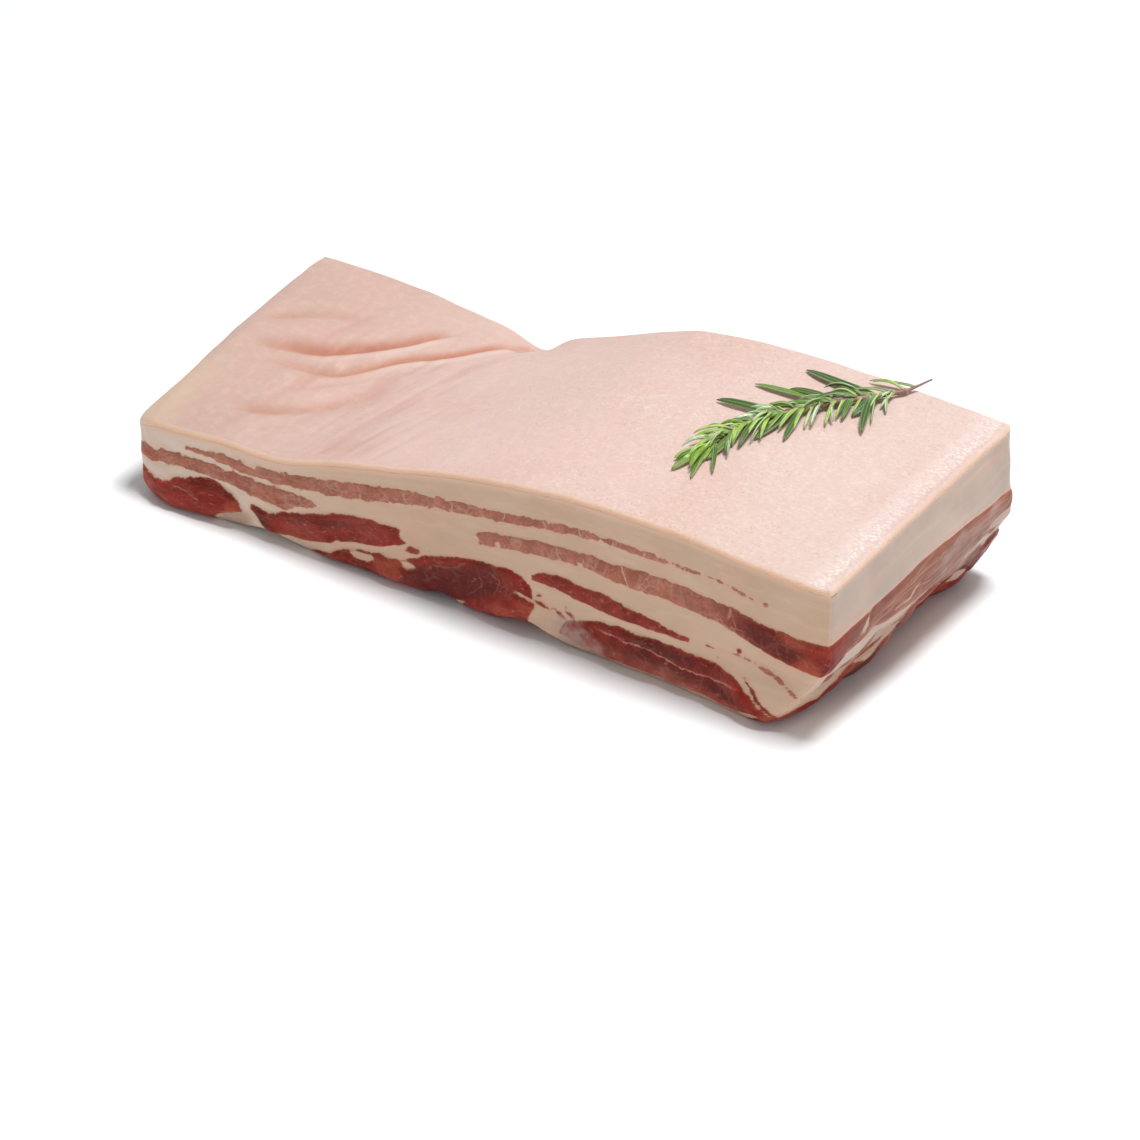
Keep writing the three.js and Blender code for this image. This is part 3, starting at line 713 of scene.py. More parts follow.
# %% Seams on both cuts
# Each seam: the line of a thin sheet of fat between muscle bundles, and how clearly it shows.
FRONT_SEAMS = [
    ([[52, 15.6], [64, 14.2], [76, 14.2], [87, 12.2], [97, 11.6], [106, 12.6], [117, 12.0]], 1.0),
    ([[36.6, 44], [38, 40.5], [39.4, 36]], 0.7), ([[48.4, 43], [47.6, 40], [46.4, 37]], 0.7),
    ([[64.4, 46], [65.6, 42], [67.6, 36.5]], 1.0), ([[75, 44.5], [73, 41], [71, 37]], 0.7),
    ([[109.4, 45], [109.8, 42], [108.4, 38.6]], 0.6),
    ([[-134, 10.8], [-127, 10.6], [-120, 9]], 0.6), ([[-38, 40], [-36, 37.5], [-35, 34]], 0.7),
    ([[-29, 43], [-28.6, 40], [-27, 38]], 0.7), ([[-9, 47], [-8, 44.5], [-9, 42]], 1.0),
    ([[-50, 39], [-48.6, 36], [-49.6, 33]], 0.5), ([[14, 50.5], [15, 48], [13.6, 46]], 0.8),
    ([[31, 53], [32, 50.6], [31, 48]], 0.9), ([[46, 54.5], [47, 52], [46, 50]], 0.9),
    ([[60, 55.4], [61, 53.4], [60, 51]], 1.0), ([[73, 55], [74, 53.4], [73, 51.6]], 1.0),
    ([[90, 55], [91, 53.6], [90, 52]], 1.0), ([[-20, 12], [-15, 17], [-7, 19], [0, 24]], 0.3),
    ([[-2, 8], [4, 14], [3, 20]], 0.25), ([[8, 26], [12, 20], [10, 12]], 0.25),
]
RIB_SEAMS = [
    ([[-58, 33], [-44, 35.4], [-30, 37], [-12, 37.6], [6, 35]], 0.7),
    ([[-34, 39], [-16, 41], [4, 41.4], [20, 40]], 0.55),
    ([[8, 38], [24, 41], [44, 41.6], [60, 40]], 0.7),
]
print("seams on the front cut:", len(FRONT_SEAMS), "and on the rib end:", len(RIB_SEAMS))


# %% Distance from lumps and seams
def lump_distance(along, up, lumps):
    """Signed distance from the nearest of some ellipses, above zero inside it."""
    best = np.full_like(along, FAR_OUT)
    for centre, height, a, b, tilt in lumps:
        c, s = cos(radians(tilt)), sin(radians(tilt))
        u = (along - centre) * c + (up - height) * s
        v = (up - height) * c - (along - centre) * s
        best = np.maximum(best, (1 - np.hypot(u / a, v / b)) * min(a, b))
    return best


def ragged(x, y, z):
    """A point's y and z, pushed about so that lumps on the rib end aren't plain ellipses."""
    return y + 6 * noise(x, y, z, 8, 32), z + 3 * noise(x, y, z, 6, 31)


def seam_field(along, up, seams):
    """Which side of the nearest seam a point is on, as a signed distance, and how clear it is."""
    best, offset, clear = np.full_like(along, 99.0), np.full_like(along, 9.0), 0 * along
    for line, strength in seams:
        away, share, side = polyline_offset(along, up, smooth_line(line, 16))
        closer = away < best
        best = np.where(closer, away, best)
        offset = np.where(closer, side * away, offset)
        ends = fade(share, 0, 0.12) * (1 - fade(share, 0.86, 1))
        clear = np.where(closer, strength * ends * (1 - fade(away, 1.2, 2.2)), clear)
    return offset, clear


one_lump = lump_distance(np.arange(0.0, 13.0, 4.0), np.zeros(4), [[0, 0, 8, 4, 0]])
print("distance from a lump 16 mm long, every 4 mm from its middle:", one_lump.round(1))

# %% Everything that the flesh is painted from
SUNK = 9  # a drawing on a cut sinks this far below the surface as it fades into the slab
RAG_TONE = 0.92  # the rags of lean are dark


def lean_field(x, y, z):
    """Everything that the flesh is painted from, at each point."""
    best, tone = np.full_like(x, FAR_OUT), np.zeros_like(x)
    for order, muscle in enumerate([*MUSCLES.values(), *THREADS.values()]):
        distance = lean_distance(x, y, z, order, muscle)
        deeper = muscle.get("deepens", 0) * fade(x, 96, 132) * (1 - fade(y, -52, -30))
        tone = np.where(distance > best, muscle["tone"] + deeper, tone)
        best = np.maximum(best, distance)
    waver = noise(x, y, z, 5, 31)
    front = SUNK * fade(y, 5 - HALF_WIDTH, 16 - HALF_WIDTH)
    rib_wall = HALF_LENGTH - rib_end_inset(z, y) - x
    rib = SUNK * fade(rib_wall, 8, 18) + SUNK * (1 - fade(y, 3 - HALF_WIDTH, 9 - HALF_WIDTH))
    fields = {}
    for kind in FRONT_LUMPS:
        on_front = lump_distance(x + 0.7 * waver, z, FRONT_LUMPS[kind]) - front
        on_rib = lump_distance(*ragged(x, y, z), RIB_LUMPS[kind]) - rib
        fields[kind] = np.maximum(on_front, on_rib)
    tone = np.where(fields["lean"] > best, RAG_TONE, tone)
    best = np.minimum(np.maximum(best, fields["lean"]), -fields["fat"])
    offset, clear = seam_field(x, z, FRONT_SEAMS)
    rib_offset, rib_clear = seam_field(y, z, RIB_SEAMS)
    clear, rib_clear = clear * (1 - fade(front, 0, 3)), rib_clear * (1 - fade(rib, 0, 3))
    near_rib_cut = rib_wall < 4
    return {
        "lean": best, "tone": tone,
        "seam": np.where(near_rib_cut, rib_offset, offset),
        "seam_clear": np.where(near_rib_cut, rib_clear, clear),
        **{kind: fade(fields[kind], -1.6, 1.8) for kind in ("orange", "shade", "film", "beige")},
    }


# %% [markdown]
# ## The flesh
#
# Fat and lean are one cut surface, so they are one mesh below the rind. The lean stands a little
# proud of the fat where the knife has left it soft, the dark muscles along the counter are plump
# and lobed, and the fat dips where it meets them.

# %% Flesh grid
RIND_OVERLAP = 0.25  # how far the flesh reaches up into the rind, so that no gap shows
PROUD = 0.05  # how far the flesh stands out from the rind's cut edge, so that no dark gap shows
FLESH_ROWS = 69
flesh_x = spaced(HALF_LENGTH + PROUD, 0.86, (0, 0.5, 1.2))
flesh_y = spaced(HALF_WIDTH + PROUD, 1.25, (0, 0.5, 1.2))
rise = np.linspace(0, 1, FLESH_ROWS)
rise = rise - 0.04 * np.sin(2 * pi * rise)  # a little closer together at the bottom and top edges

flesh_counts = (len(flesh_x), len(flesh_y), FLESH_ROWS)
ijk, flesh_faces = block_skin(flesh_counts, hidden=FLESH_ROWS - 1, skip=6)
px, py, up = flesh_x[ijk[:, 0]], flesh_y[ijk[:, 1]], rise[ijk[:, 2]]
at_end, at_side = np.abs(px) > HALF_LENGTH, np.abs(py) > HALF_WIDTH


def flesh_roof(x, y):
    return rind_height(x, y) + wrinkles(x, y) - edge_droop(x, y) - RIND_THICKNESS + RIND_OVERLAP


x, y = outline(px, py, lerp(underside_height(px, py), flesh_roof(px, py), up))
z = lerp(underside_height(x, y), flesh_roof(x, y), up)
print("flesh grid:", flesh_counts)

# %% Relief of the cut faces
LEAN_PROUD, DARK_PROUD, LOW_PROUD = 0.2, 0.6, 0.5  # lean stands out, dark or low lean more so
LOBES, LOW_LOBES = 0.12, 0.75  # height of the lobes everywhere, and what is added low down
BORDER_DIP, SEAM_GROOVE, RIB_LUMP_RELIEF, FINE_RELIEF = 0.12, 0.35, 0.35, 0.09

painted = lean_field(x, y, z)
lean, tone = painted["lean"], painted["tone"]
inside = fade(lean, -0.5, 1.4)
low = 1 - fade(z, 8, 26)
lobes = noise(x, y, z, 9, 11) + 0.5 * noise(x, y, z, 4.5, 12)
bulge = inside * (LEAN_PROUD + DARK_PROUD * tone + LOW_PROUD * low)
bulge = bulge + (LOBES + LOW_LOBES * low) * lobes
bulge = bulge - BORDER_DIP * tone * bell(lean, 0.7)
bulge = bulge + FINE_RELIEF * noise(x, y, z, 2.4, 13)
rib_lumps = lump_distance(*ragged(x, y, z), RIB_LUMPS["lean"])
bulge = bulge + RIB_LUMP_RELIEF * np.clip(rib_lumps, 0, 3) * (px > 0)
bulge = bulge - SEAM_GROOVE * bell(painted["seam"], 0.7) * painted["seam_clear"]
wall = np.clip(np.minimum(up / 0.05, (1 - up) / 0.06), 0, 1)
x = x + np.where(at_end, np.where(px > 0, 1, -0.4) * bulge * wall, 0)
y = y + np.where(at_side, np.sign(py) * bulge * wall, 0)
lifted = 0.3 * np.maximum(lobes, 0) * fade(underside_height(x, y), 0, 2)
z = np.where(ijk[:, 2] == 0, np.maximum(0, z + lifted), z)
print("the cut faces go from", bulge.min().round(1), "to", bulge.max().round(1), "mm proud")

# %% Flesh
flesh_points = np.stack([x, y, z], -1)
LEVEL = 60  # height in millimetres that the rind is drawn out to, so that the layers lie flat
layer = np.stack([x, y, LEVEL * z / base_height(x, y)], -1) * MM
flesh = mesh_piece("belly_flesh", flesh_points, flesh_faces, {
    **painted, "layer": layer, "below_rind": base_height(x, y) - RIND_THICKNESS - z,
    "rib_end": fade(x, 138, 147) * (py > 1 - HALF_WIDTH),
    "rosy": fade(x, 138, 147) * fade(y, -62, -40) * fade(z, 22, 28),
}, flat=ijk[:, 2] == FLESH_ROWS - 1)
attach(flesh, "root")
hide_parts("fat_and_rind", *MUSCLES)
lean_share = np.mean(lean[(py < 0) & at_side] > 0)
print("share of the front cut that is lean:", round(float(lean_share), 2))


# %% [markdown]
# ## Materials as graphs
#
# A material is a graph of nodes. A small class keeps the graphs readable: each call adds one node
# and returns its output, and a plain number is set on the socket itself. Most finishes here are a
# base colour with thin coats over it, so `coats` takes a whole list of them.

# %% Graph helper
class Graph:
    """Builds one material's nodes. Most methods return the socket that the next one reads."""

    def __init__(self, name):
        self.material = bpy.data.materials.new(name)
        self.material.use_nodes = True
        self.tree = self.material.node_tree
        self.shader = self.tree.nodes["Principled BSDF"]

    def feed(self, socket, value):
        if isinstance(value, bpy.types.NodeSocket):
            self.tree.links.new(value, socket)
        elif value is not None:
            socket.default_value = value

    def node(self, kind, values=None, output=0, **settings):
        made = self.tree.nodes.new(kind)
        for name, setting in settings.items():
            setattr(made, name, setting)
        for key, value in (values or {}).items():
            self.feed(made.inputs[key], value)
        return made.outputs[output]

    def math(self, operation, a, b=None, c=None):
        return self.node("ShaderNodeMath", {0: a, 1: b, 2: c}, operation=operation)

    def times(self, a, b):
        return self.math("MULTIPLY", a, b)

    def add_scaled(self, base, value, scale):
        return self.math("MULTIPLY_ADD", value, scale, base)

    def ramp(self, value, low, high, to_low=0.0, to_high=1.0):
        """A smooth step from to_low to to_high as the value goes from low to high."""
        values = {"Value": value, "From Min": low, "From Max": high}
        values |= {"To Min": to_low, "To Max": to_high}
        return self.node("ShaderNodeMapRange", values, interpolation_type="SMOOTHSTEP")

    def mix(self, factor, a, b, blend="MIX"):
        """Mixes two colours, given as sockets or as (red, green, blue)."""
        made = self.tree.nodes.new("ShaderNodeMix")
        made.data_type, made.blend_type = "RGBA", blend
        for socket, value in zip((made.inputs[0], made.inputs[6], made.inputs[7]), (factor, a, b)):
            self.feed(socket, (*value, 1) if isinstance(value, tuple) else value)
        return made.outputs[2]

    def coats(self, base, *coats):
        """Lays coats over a base in turn, each given as (how much shows, colour, blend)."""
        for amount, *colour in coats:
            base = self.mix(amount, base, *colour)
        return base

    def attribute(self, name, output="Fac"):
        return self.node("ShaderNodeAttribute", attribute_name=name, output=output)

    def place(self):
        """Where a point is on the piece, in metres."""
        return self.node("ShaderNodeTexCoord", output="Object")

    def along(self, vector, axis):
        return self.node("ShaderNodeSeparateXYZ", {0: vector}, output="XYZ".index(axis))

    def stretched(self, vector, x, y, z, turn=0):
        """The same space, turned about Z and scaled along each axis, so that grain can run long."""
        values = {"Vector": vector, "Rotation": (0, 0, radians(turn)), "Scale": (x, y, z)}
        return self.node("ShaderNodeMapping", values)

    def warped(self, vector, scale, amount):
        """The same space, pushed about by noise, so that cells and lines aren't straight."""
        push = {0: self.noise(vector, scale, output=1), 1: (amount,) * 3}
        push = self.node("ShaderNodeVectorMath", push, operation="MULTIPLY")
        return self.node("ShaderNodeVectorMath", {0: vector, 1: push}, operation="ADD")

    def noise(self, vector, scale, detail=2.0, roughness=0.5, output=0):
        values = {"Vector": vector, "Scale": scale, "Detail": detail, "Roughness": roughness}
        return self.node("ShaderNodeTexNoise", values, output=output)

    def cells(self, vector, scale, feature="F1", randomness=1.0, output=0):
        values = {"Vector": vector, "Scale": scale, "Randomness": randomness}
        return self.node("ShaderNodeTexVoronoi", values, feature=feature, output=output)

    def bump(self, height, distance, strength=1.0):
        values = {"Height": height, "Distance": distance, "Strength": strength}
        return self.node("ShaderNodeBump", values)

    def finish(self, piece, **sockets):
        """Sets the shader's sockets and gives the material to the piece."""
        for name, value in sockets.items():
            socket = self.shader.inputs[name.replace("_", " ")]
            is_colour = isinstance(value, tuple) and socket.type == "RGBA"
            self.feed(socket, (*value, 1) if is_colour else value)
        piece.data.materials.append(self.material)
        print(f"{self.material.name}: {len(self.tree.nodes)} nodes on {piece.name}")


# %% [markdown]
# ## The flesh's finish
#
# Lean is painted where the signed distance is above zero. Noise is added to the distance first, so
# that the border wanders and frays as it does between fibres. Muscle fibres run from the front cut
# to the back cut: cut across, they show as small bundles with thin white lines between them, and
# cut along, at the rib end, as long streaks. One pattern of cells stretched along Y gives both.

# %% Where lean meets fat
g = Graph("pork_flesh")
space = g.attribute("layer", "Vector")
fibres = g.stretched(space, 1.0, 0.09, 1.0)
tone_here = g.attribute("tone")
dark_muscle = g.ramp(tone_here, 0.55, 0.85)

bundles = g.warped(g.stretched(space, 1.0, 0.09, 1.25), 260, 0.0022)
bundle_middle = g.cells(bundles, 210, randomness=0.85)
bundle_edge = g.cells(bundles, 210, "DISTANCE_TO_EDGE", randomness=0.85)

# The border bulges around each bundle, wanders broadly, and frays finely.
wander = g.math("SUBTRACT", g.noise(fibres, 150, 3, 0.5), 0.5)
fray = g.math("SUBTRACT", g.noise(fibres, 620, 3, 0.6), 0.5)
scallop = g.math("SUBTRACT", 0.42, bundle_middle)
border = g.add_scaled(g.attribute("lean"), wander, g.ramp(tone_here, 0.1, 0.3, 3.8, 2.3))
border = g.add_scaled(border, fray, g.ramp(tone_here, 0.1, 0.3, 1.9, 1.2))
border = g.add_scaled(border, scallop, g.ramp(dark_muscle, 0, 1, 1.1, 0.25))
lean_mask = g.ramp(border, -0.28, 0.26)
print("nodes for the border:", len(g.tree.nodes))

# %% Colour of the lean
PALE_LEAN, MIDDLE_LEAN, DARK_LEAN = (0.42, 0.15, 0.095), (0.275, 0.053, 0.033), (0.28, 0.021, 0.011)
broad = g.noise(fibres, 75, 3, 0.55)
lighter = g.mix(dark_muscle, (0.54, 0.22, 0.155), (0.34, 0.06, 0.042))
darker = g.mix(dark_muscle, (0.42, 0.115, 0.07), (0.15, 0.014, 0.008))
fine = g.noise(fibres, 1000, 3, 0.6)
dapple = g.ramp(g.noise(fibres, 260, 2, 0.5), 0.3, 0.7, 0.86, 1.14)
dapple = g.times(g.ramp(fine, 0.3, 0.7, 0.87, 1.13), dapple)
grey_dapple = g.node("ShaderNodeCombineXYZ", {0: dapple, 1: dapple, 2: dapple})
lean_colour = g.coats(
    PALE_LEAN,
    (g.ramp(tone_here, 0.25, 0.6), MIDDLE_LEAN),
    (g.ramp(tone_here, 0.5, 0.95), DARK_LEAN),
    (g.ramp(broad, 0.45, 0.72, 0, 0.5), lighter),
    (g.ramp(broad, 0.52, 0.3, 0, 0.5), darker),
    (g.times(g.attribute("rosy"), 0.8), (0.33, 0.13, 0.09)),
    (g.times(g.attribute("shade"), 0.85), (0.115, 0.012, 0.008)),
    (g.times(g.attribute("orange"), 0.55), (0.44, 0.085, 0.04)),
    (g.times(g.attribute("beige"), g.ramp(broad, 0.4, 0.6, 0.2, 0.75)), (0.44, 0.15, 0.10)),
    (1.0, grey_dapple, "MULTIPLY"),
)
print("nodes with the lean:", len(g.tree.nodes))

# %% Lines, seams and marbling in the lean
line_here = g.ramp(g.noise(fibres, 110, 2, 0.5), 0.45, 0.62)
line_here = g.times(line_here, g.ramp(dark_muscle, 0, 1, 0.34, 0.12))
bundle_line = g.times(g.ramp(bundle_edge, 0.10, 0.01), line_here)
seam_wave = g.add_scaled(g.add_scaled(g.attribute("seam"), fray, 2), wander, 3)
seam_broken = g.ramp(g.noise(fibres, 300, 2, 0.5), 0.34, 0.5, 0.45, 1)
seam_broken = g.times(g.attribute("seam_clear"), seam_broken)
seam_line = g.times(g.ramp(g.math("ABSOLUTE", seam_wave), 0.5, 0.1, 0, 0.85), seam_broken)
fleck_most = g.ramp(g.attribute("rib_end"), 0, 1, 0.42, 0.2)
fleck = g.noise(g.stretched(space, 1.0, 0.22, 1.5), 380, 4, 0.62)
fleck = g.ramp(fleck, 0.6, 0.71, 0, fleck_most)
pale_in_lean = g.math("MAXIMUM", g.math("MAXIMUM", bundle_line, seam_line), fleck)
lean_colour = g.coats(
    lean_colour,
    (pale_in_lean, g.mix(dark_muscle, (0.64, 0.41, 0.30), (0.54, 0.25, 0.18))),
    (g.ramp(border, 0.9, 0.05, 0, 0.25), (0.50, 0.15, 0.08)),
    # On the rib end the lean is darkened as painted shade, to offset the stronger light that the
    # overhead panel throws on that face.
    (g.attribute("rib_end"), (0.82, 0.75, 0.72), "MULTIPLY"),
)
print("nodes with the marbling:", len(g.tree.nodes))

# %% Colour of the fat
# RIB_FAT is the rib end's pinker fat, also darkened as painted shade to offset the stronger light
# that the overhead panel throws on that face.
FAT, FLANK_FAT, RIB_FAT = (0.64, 0.43, 0.30), (0.77, 0.61, 0.50), (0.51, 0.395, 0.335)
layered = g.noise(g.stretched(space, 0.25, 0.1, 1.6), 220, 3, 0.6)
blush = g.ramp(g.attribute("rib_end"), 0, 1, 0.9, 0.3)
blush = g.ramp(g.attribute("below_rind"), 2.8, -0.4, 0, blush)
flecked = g.noise(g.stretched(space, 1.0, 0.3, 1.0), 300, 4, 0.65)
low_fat = g.ramp(g.along(space, "Z"), 0.034, 0.016)
fat_colour = g.coats(
    FAT,
    (g.ramp(g.along(g.place(), "X"), -0.04, -0.12), FLANK_FAT),
    (g.attribute("rib_end"), RIB_FAT),
    (g.ramp(g.noise(space, 28, 3, 0.5), 0.35, 0.65, 0, 0.25), (0.80, 0.59, 0.46)),
    (g.ramp(broad, 0.5, 0.72, 0, 0.32), (0.76, 0.45, 0.33)),
    (g.ramp(layered, 0.48, 0.7, 0, 0.12), (0.66, 0.43, 0.31)),
    (g.ramp(layered, 0.5, 0.3, 0, 0.12), (0.88, 0.70, 0.58)),
    (g.ramp(border, -2.2, -0.1, 0, 0.3), (0.72, 0.38, 0.26)),
    (blush, (0.85, 0.545, 0.395)),
    (g.times(g.attribute("beige"), 0.8), (0.43, 0.28, 0.20)),
    (g.times(g.ramp(flecked, 0.64, 0.72, 0, 0.5), low_fat), (0.50, 0.13, 0.07)),
)
print("nodes with the fat:", len(g.tree.nodes))

# %% The flesh's relief and gloss
FILM, FLESH_RELIEF = (0.47, 0.33, 0.29), 0.0004  # the relief is in metres
film = g.times(g.attribute("film"), g.ramp(g.noise(fibres, 240, 3, 0.6), 0.35, 0.6, 0.25, 0.85))
film_cover = g.times(film, g.ramp(lean_mask, 0, 1, 0.6, 0.85))
grain = g.add_scaled(g.times(fine, 0.7), bundle_edge, 0.9)
grain = g.times(g.ramp(lean_mask, 0, 1, 0.3, 1), grain)
flesh_height = g.add_scaled(grain, lean_mask, 0.12)
g.finish(
    flesh,
    Base_Color=g.mix(film_cover, g.mix(lean_mask, fat_colour, lean_colour), FILM),
    Roughness=g.ramp(g.noise(space, 260, 2, 0.5), 0.3, 0.7, 0.32, 0.48),
    Normal=g.bump(flesh_height, FLESH_RELIEF),
    Subsurface_Weight=0.15, Subsurface_Radius=(1.0, 0.35, 0.2), Subsurface_Scale=0.001, IOR=1.24,
)


# %% [markdown]
# ## The rind's finish
#
# Pork rind is pale pink with a satin sheen. Close up it is covered in pores, each a short dash
# where a bristle was scraped off, all leaning the same way. The creases and the valleys of the
# loose folds are darkened and reddened as painted shade, and the lips of the sharp creases are
# lightened as painted light. Near the rib end, pale dashes and a pale band are painted as glints
# and sheen. Along the cut edges the skin dries to a tan line.

# %% Colour of the skin
g = Graph("pork_rind")
where = g.place()
x_here = g.along(where, "X")
FLANK_SKIN, MIDDLE_SKIN, RIB_SKIN = (0.585, 0.40, 0.335), (0.70, 0.50, 0.445), (0.685, 0.525, 0.47)
skin = g.coats(
    FLANK_SKIN,
    (g.ramp(x_here, -0.13, -0.02), MIDDLE_SKIN),
    (g.ramp(x_here, 0.02, 0.14), RIB_SKIN),
    (g.ramp(g.noise(where, 22, 3, 0.5), 0.38, 0.7, 0, 0.6), (0.655, 0.42, 0.365)),
    (g.ramp(g.noise(where, 9, 2, 0.5), 0.45, 0.7, 0, 0.4), (0.665, 0.505, 0.405)),
    (g.ramp(g.noise(where, 300, 2, 0.5), 0.42, 0.7, 0, 0.1), (0.90, 0.73, 0.66)),
)
print("nodes for the skin:", len(g.tree.nodes))

# %% Pores
# The skin is coarser towards the rib end, so speckle and pores show more there.
speckle = g.noise(g.stretched(where, 0.6, 1.0, 1.0), 900, 2, 0.5)
turned = g.stretched(where, 1.0, 0.45, 1.0, turn=-28)
pore = g.ramp(g.noise(where, 60, 2, 0.5), 0.4, 0.6, 0.35, 1)
pore = g.times(g.ramp(g.cells(turned, 820), 0.30, 0.08), pore)
skin = g.coats(
    skin,
    (g.ramp(speckle, 0.5, 0.72, 0, g.ramp(x_here, -0.03, 0.05, 0.05, 0.28)), (0.86, 0.72, 0.67)),
    (g.ramp(speckle, 0.48, 0.3, 0, g.ramp(x_here, -0.03, 0.05, 0.05, 0.16)), (0.58, 0.39, 0.32)),
    (g.times(pore, g.ramp(x_here, -0.05, 0.06, 0.1, 0.3)), (0.62, 0.40, 0.30)),
)
print("nodes with the pores:", len(g.tree.nodes))

# %% Painted glints and sheen beside the rib end
# Where the edge would catch the light, short pale dashes are painted as glints, over a pale band
# painted as sheen, with darker speckle between them. The same painted glints show in patches over
# the rib half.
rib_side = g.attribute("rib_side")
glint_space = g.stretched(where, 0.5, 1.0, 1.0)
glint_cells = g.cells(glint_space, 1350, output=1)
dash = g.times(g.ramp(g.cells(glint_space, 1350), 0.6, 0.25), g.ramp(glint_cells, 0.3, 0.6))
dash = g.times(g.ramp(rib_side, 1.5, 4.0), dash)
band = g.times(g.ramp(rib_side, 2.0, 4.0), g.ramp(rib_side, 15.0, 8.0))
gap = g.times(g.ramp(glint_cells, 0.5, 0.25), g.ramp(rib_side, 14.0, 7.0, 0, 0.3))
near_rib = g.ramp(g.add_scaled(rib_side, g.noise(where, 130, 3, 0.6), 9.0), 17.0, 8.0)
glint_patches = g.ramp(g.noise(where, 38, 3, 0.6), 0.54, 0.72, 0, 0.6)
glint_patches = g.times(glint_patches, g.ramp(x_here, -0.05, 0.05))
white = g.times(dash, g.math("MAXIMUM", near_rib, glint_patches))
# The pale band is painted sheen and the pale dashes are painted glints.
skin = g.coats(
    skin,
    (g.times(band, 0.4), (0.80, 0.665, 0.61)),
    (gap, (0.58, 0.45, 0.43)),
    (g.times(white, 0.6), (0.97, 0.90, 0.86)),
)
print("nodes with the glints:", len(g.tree.nodes))

# %% Painted shade and light in the folds, and the cut edges
crease_light_and_shade, depth_here = g.attribute("fold"), g.attribute("depth")
cream_edge = g.ramp(g.along(where, "Y"), 0.0, -0.045)
cream_edge = g.times(g.ramp(x_here, -0.130, -0.150, 0, 0.6), cream_edge)
rim_edge = g.ramp(rib_side, 1.0, 5.0, 0.35, 0.6)
rim_edge = g.ramp(g.attribute("rim"), 1.4, 0.0, 0, rim_edge)
tanned = g.ramp(rib_side, 1.0, 5.0, 0.5, 1)
skin = g.coats(
    skin,
    # The valleys of the loose folds are darkened as painted shade.
    (g.ramp(g.attribute("slack"), 0.05, -0.4, 0, 0.75), (0.88, 0.76, 0.72), "MULTIPLY"),
    # The near lips of the sharp creases are lightened as painted light.
    (g.ramp(crease_light_and_shade, 0.0, -0.5, 0, 0.4), (0.76, 0.58, 0.52)),
    # The creases are darkened and reddened as painted shade.
    (g.ramp(crease_light_and_shade, 0.0, 0.5, 0, 0.9), (0.88, 0.74, 0.66), "MULTIPLY"),
    (g.ramp(crease_light_and_shade, 0.35, 0.95), (0.88, 0.60, 0.49), "MULTIPLY"),
    (cream_edge, (0.70, 0.53, 0.37)),
    (rim_edge, (0.86, 0.64, 0.49)),
    (g.times(g.ramp(depth_here, 0.0, 0.9), tanned), (0.92, 0.57, 0.39)),
    (g.times(g.ramp(depth_here, 1.2, 2.6), tanned), (0.87, 0.55, 0.395)),
)
print("nodes with the folds and edges:", len(g.tree.nodes))

# %% The rind's relief and gloss
RIND_RELIEF = 0.00035  # in metres
dimples = g.noise(turned, 480, 3, 0.55)
streaks = g.noise(g.stretched(where, 0.12, 1.0, 1.0, turn=-65), 600, 2, 0.5)
skin_height = g.add_scaled(g.times(streaks, 0.35), dimples, 0.8)
skin_height = g.math("SUBTRACT", skin_height, g.times(pore, 0.45))
skin_height = g.add_scaled(skin_height, white, 0.25)
skin_height = g.times(skin_height, g.ramp(x_here, -0.07, 0.0, 0.3, 1))
g.finish(
    rind,
    Base_Color=skin,
    Roughness=g.ramp(dimples, 0.3, 0.7, 0.44, 0.6),
    Normal=g.bump(skin_height, RIND_RELIEF, 0.9),
    Subsurface_Weight=0.2, Subsurface_Radius=(1.0, 0.4, 0.25), Subsurface_Scale=0.0012, IOR=1.4,
)


# %% [markdown]
# ## The rosemary stem
#
# The sprig is a young woody shoot. It was torn off, so its heel ends in a thin strip of bark, and
# behind that is a thicker joint. The stem is a tube whose radius swells a little at every joint.

# %% Line of the stem
STEM = [  # [x, y, height over the rind, radius] from the heel to the tip, about 12 mm apart
    [115.9, 67, 2.6, 0.3], [111, 55.4, 2.0, 0.65], [104, 46, 2.3, 0.85], [96.6, 36.5, 2.5, 1.0],
    [89, 26.8, 2.5, 1.0], [81.6, 16.2, 2.4, 0.95], [76, 5, 2.2, 0.85], [72.5, -7, 2.0, 0.7],
    [70, -19, 1.8, 0.45],
]


def rind_under(x, y):
    return float(rind_height(np.array([x]), np.array([min(y, HALF_WIDTH)]))[0])


stem_points = np.array([[x, y, rind_under(x, y) + lift] for x, y, lift, radius in STEM])


def stem_at(t):
    """A point of the stem's middle line, and its direction, at share t of its length."""
    s = min(max(t, 0), 1) * (len(STEM) - 1)
    k = min(int(s), len(STEM) - 2)
    f = s - k
    p = [stem_points[min(max(k + j, 0), len(STEM) - 1)] for j in (-1, 0, 1, 2)]
    if k == 0:
        p[0] = 2 * p[1] - p[2]
    if k == len(STEM) - 2:
        p[3] = 2 * p[2] - p[1]
    point = 0.5 * (2 * p[1] + (p[2] - p[0]) * f + (2 * p[0] - 5 * p[1] + 4 * p[2] - p[3]) * f**2
                   + (3 * p[1] - p[0] - 3 * p[2] + p[3]) * f**3)
    slope = 0.5 * ((p[2] - p[0]) + 2 * (2 * p[0] - 5 * p[1] + 4 * p[2] - p[3]) * f
                   + 3 * (3 * p[1] - p[0] - 3 * p[2] + p[3]) * f**2)
    return point, slope / np.linalg.norm(slope)


stem_length = sum(np.linalg.norm(np.diff(stem_points, axis=0), axis=1))
print("stem length in mm:", round(stem_length, 1))


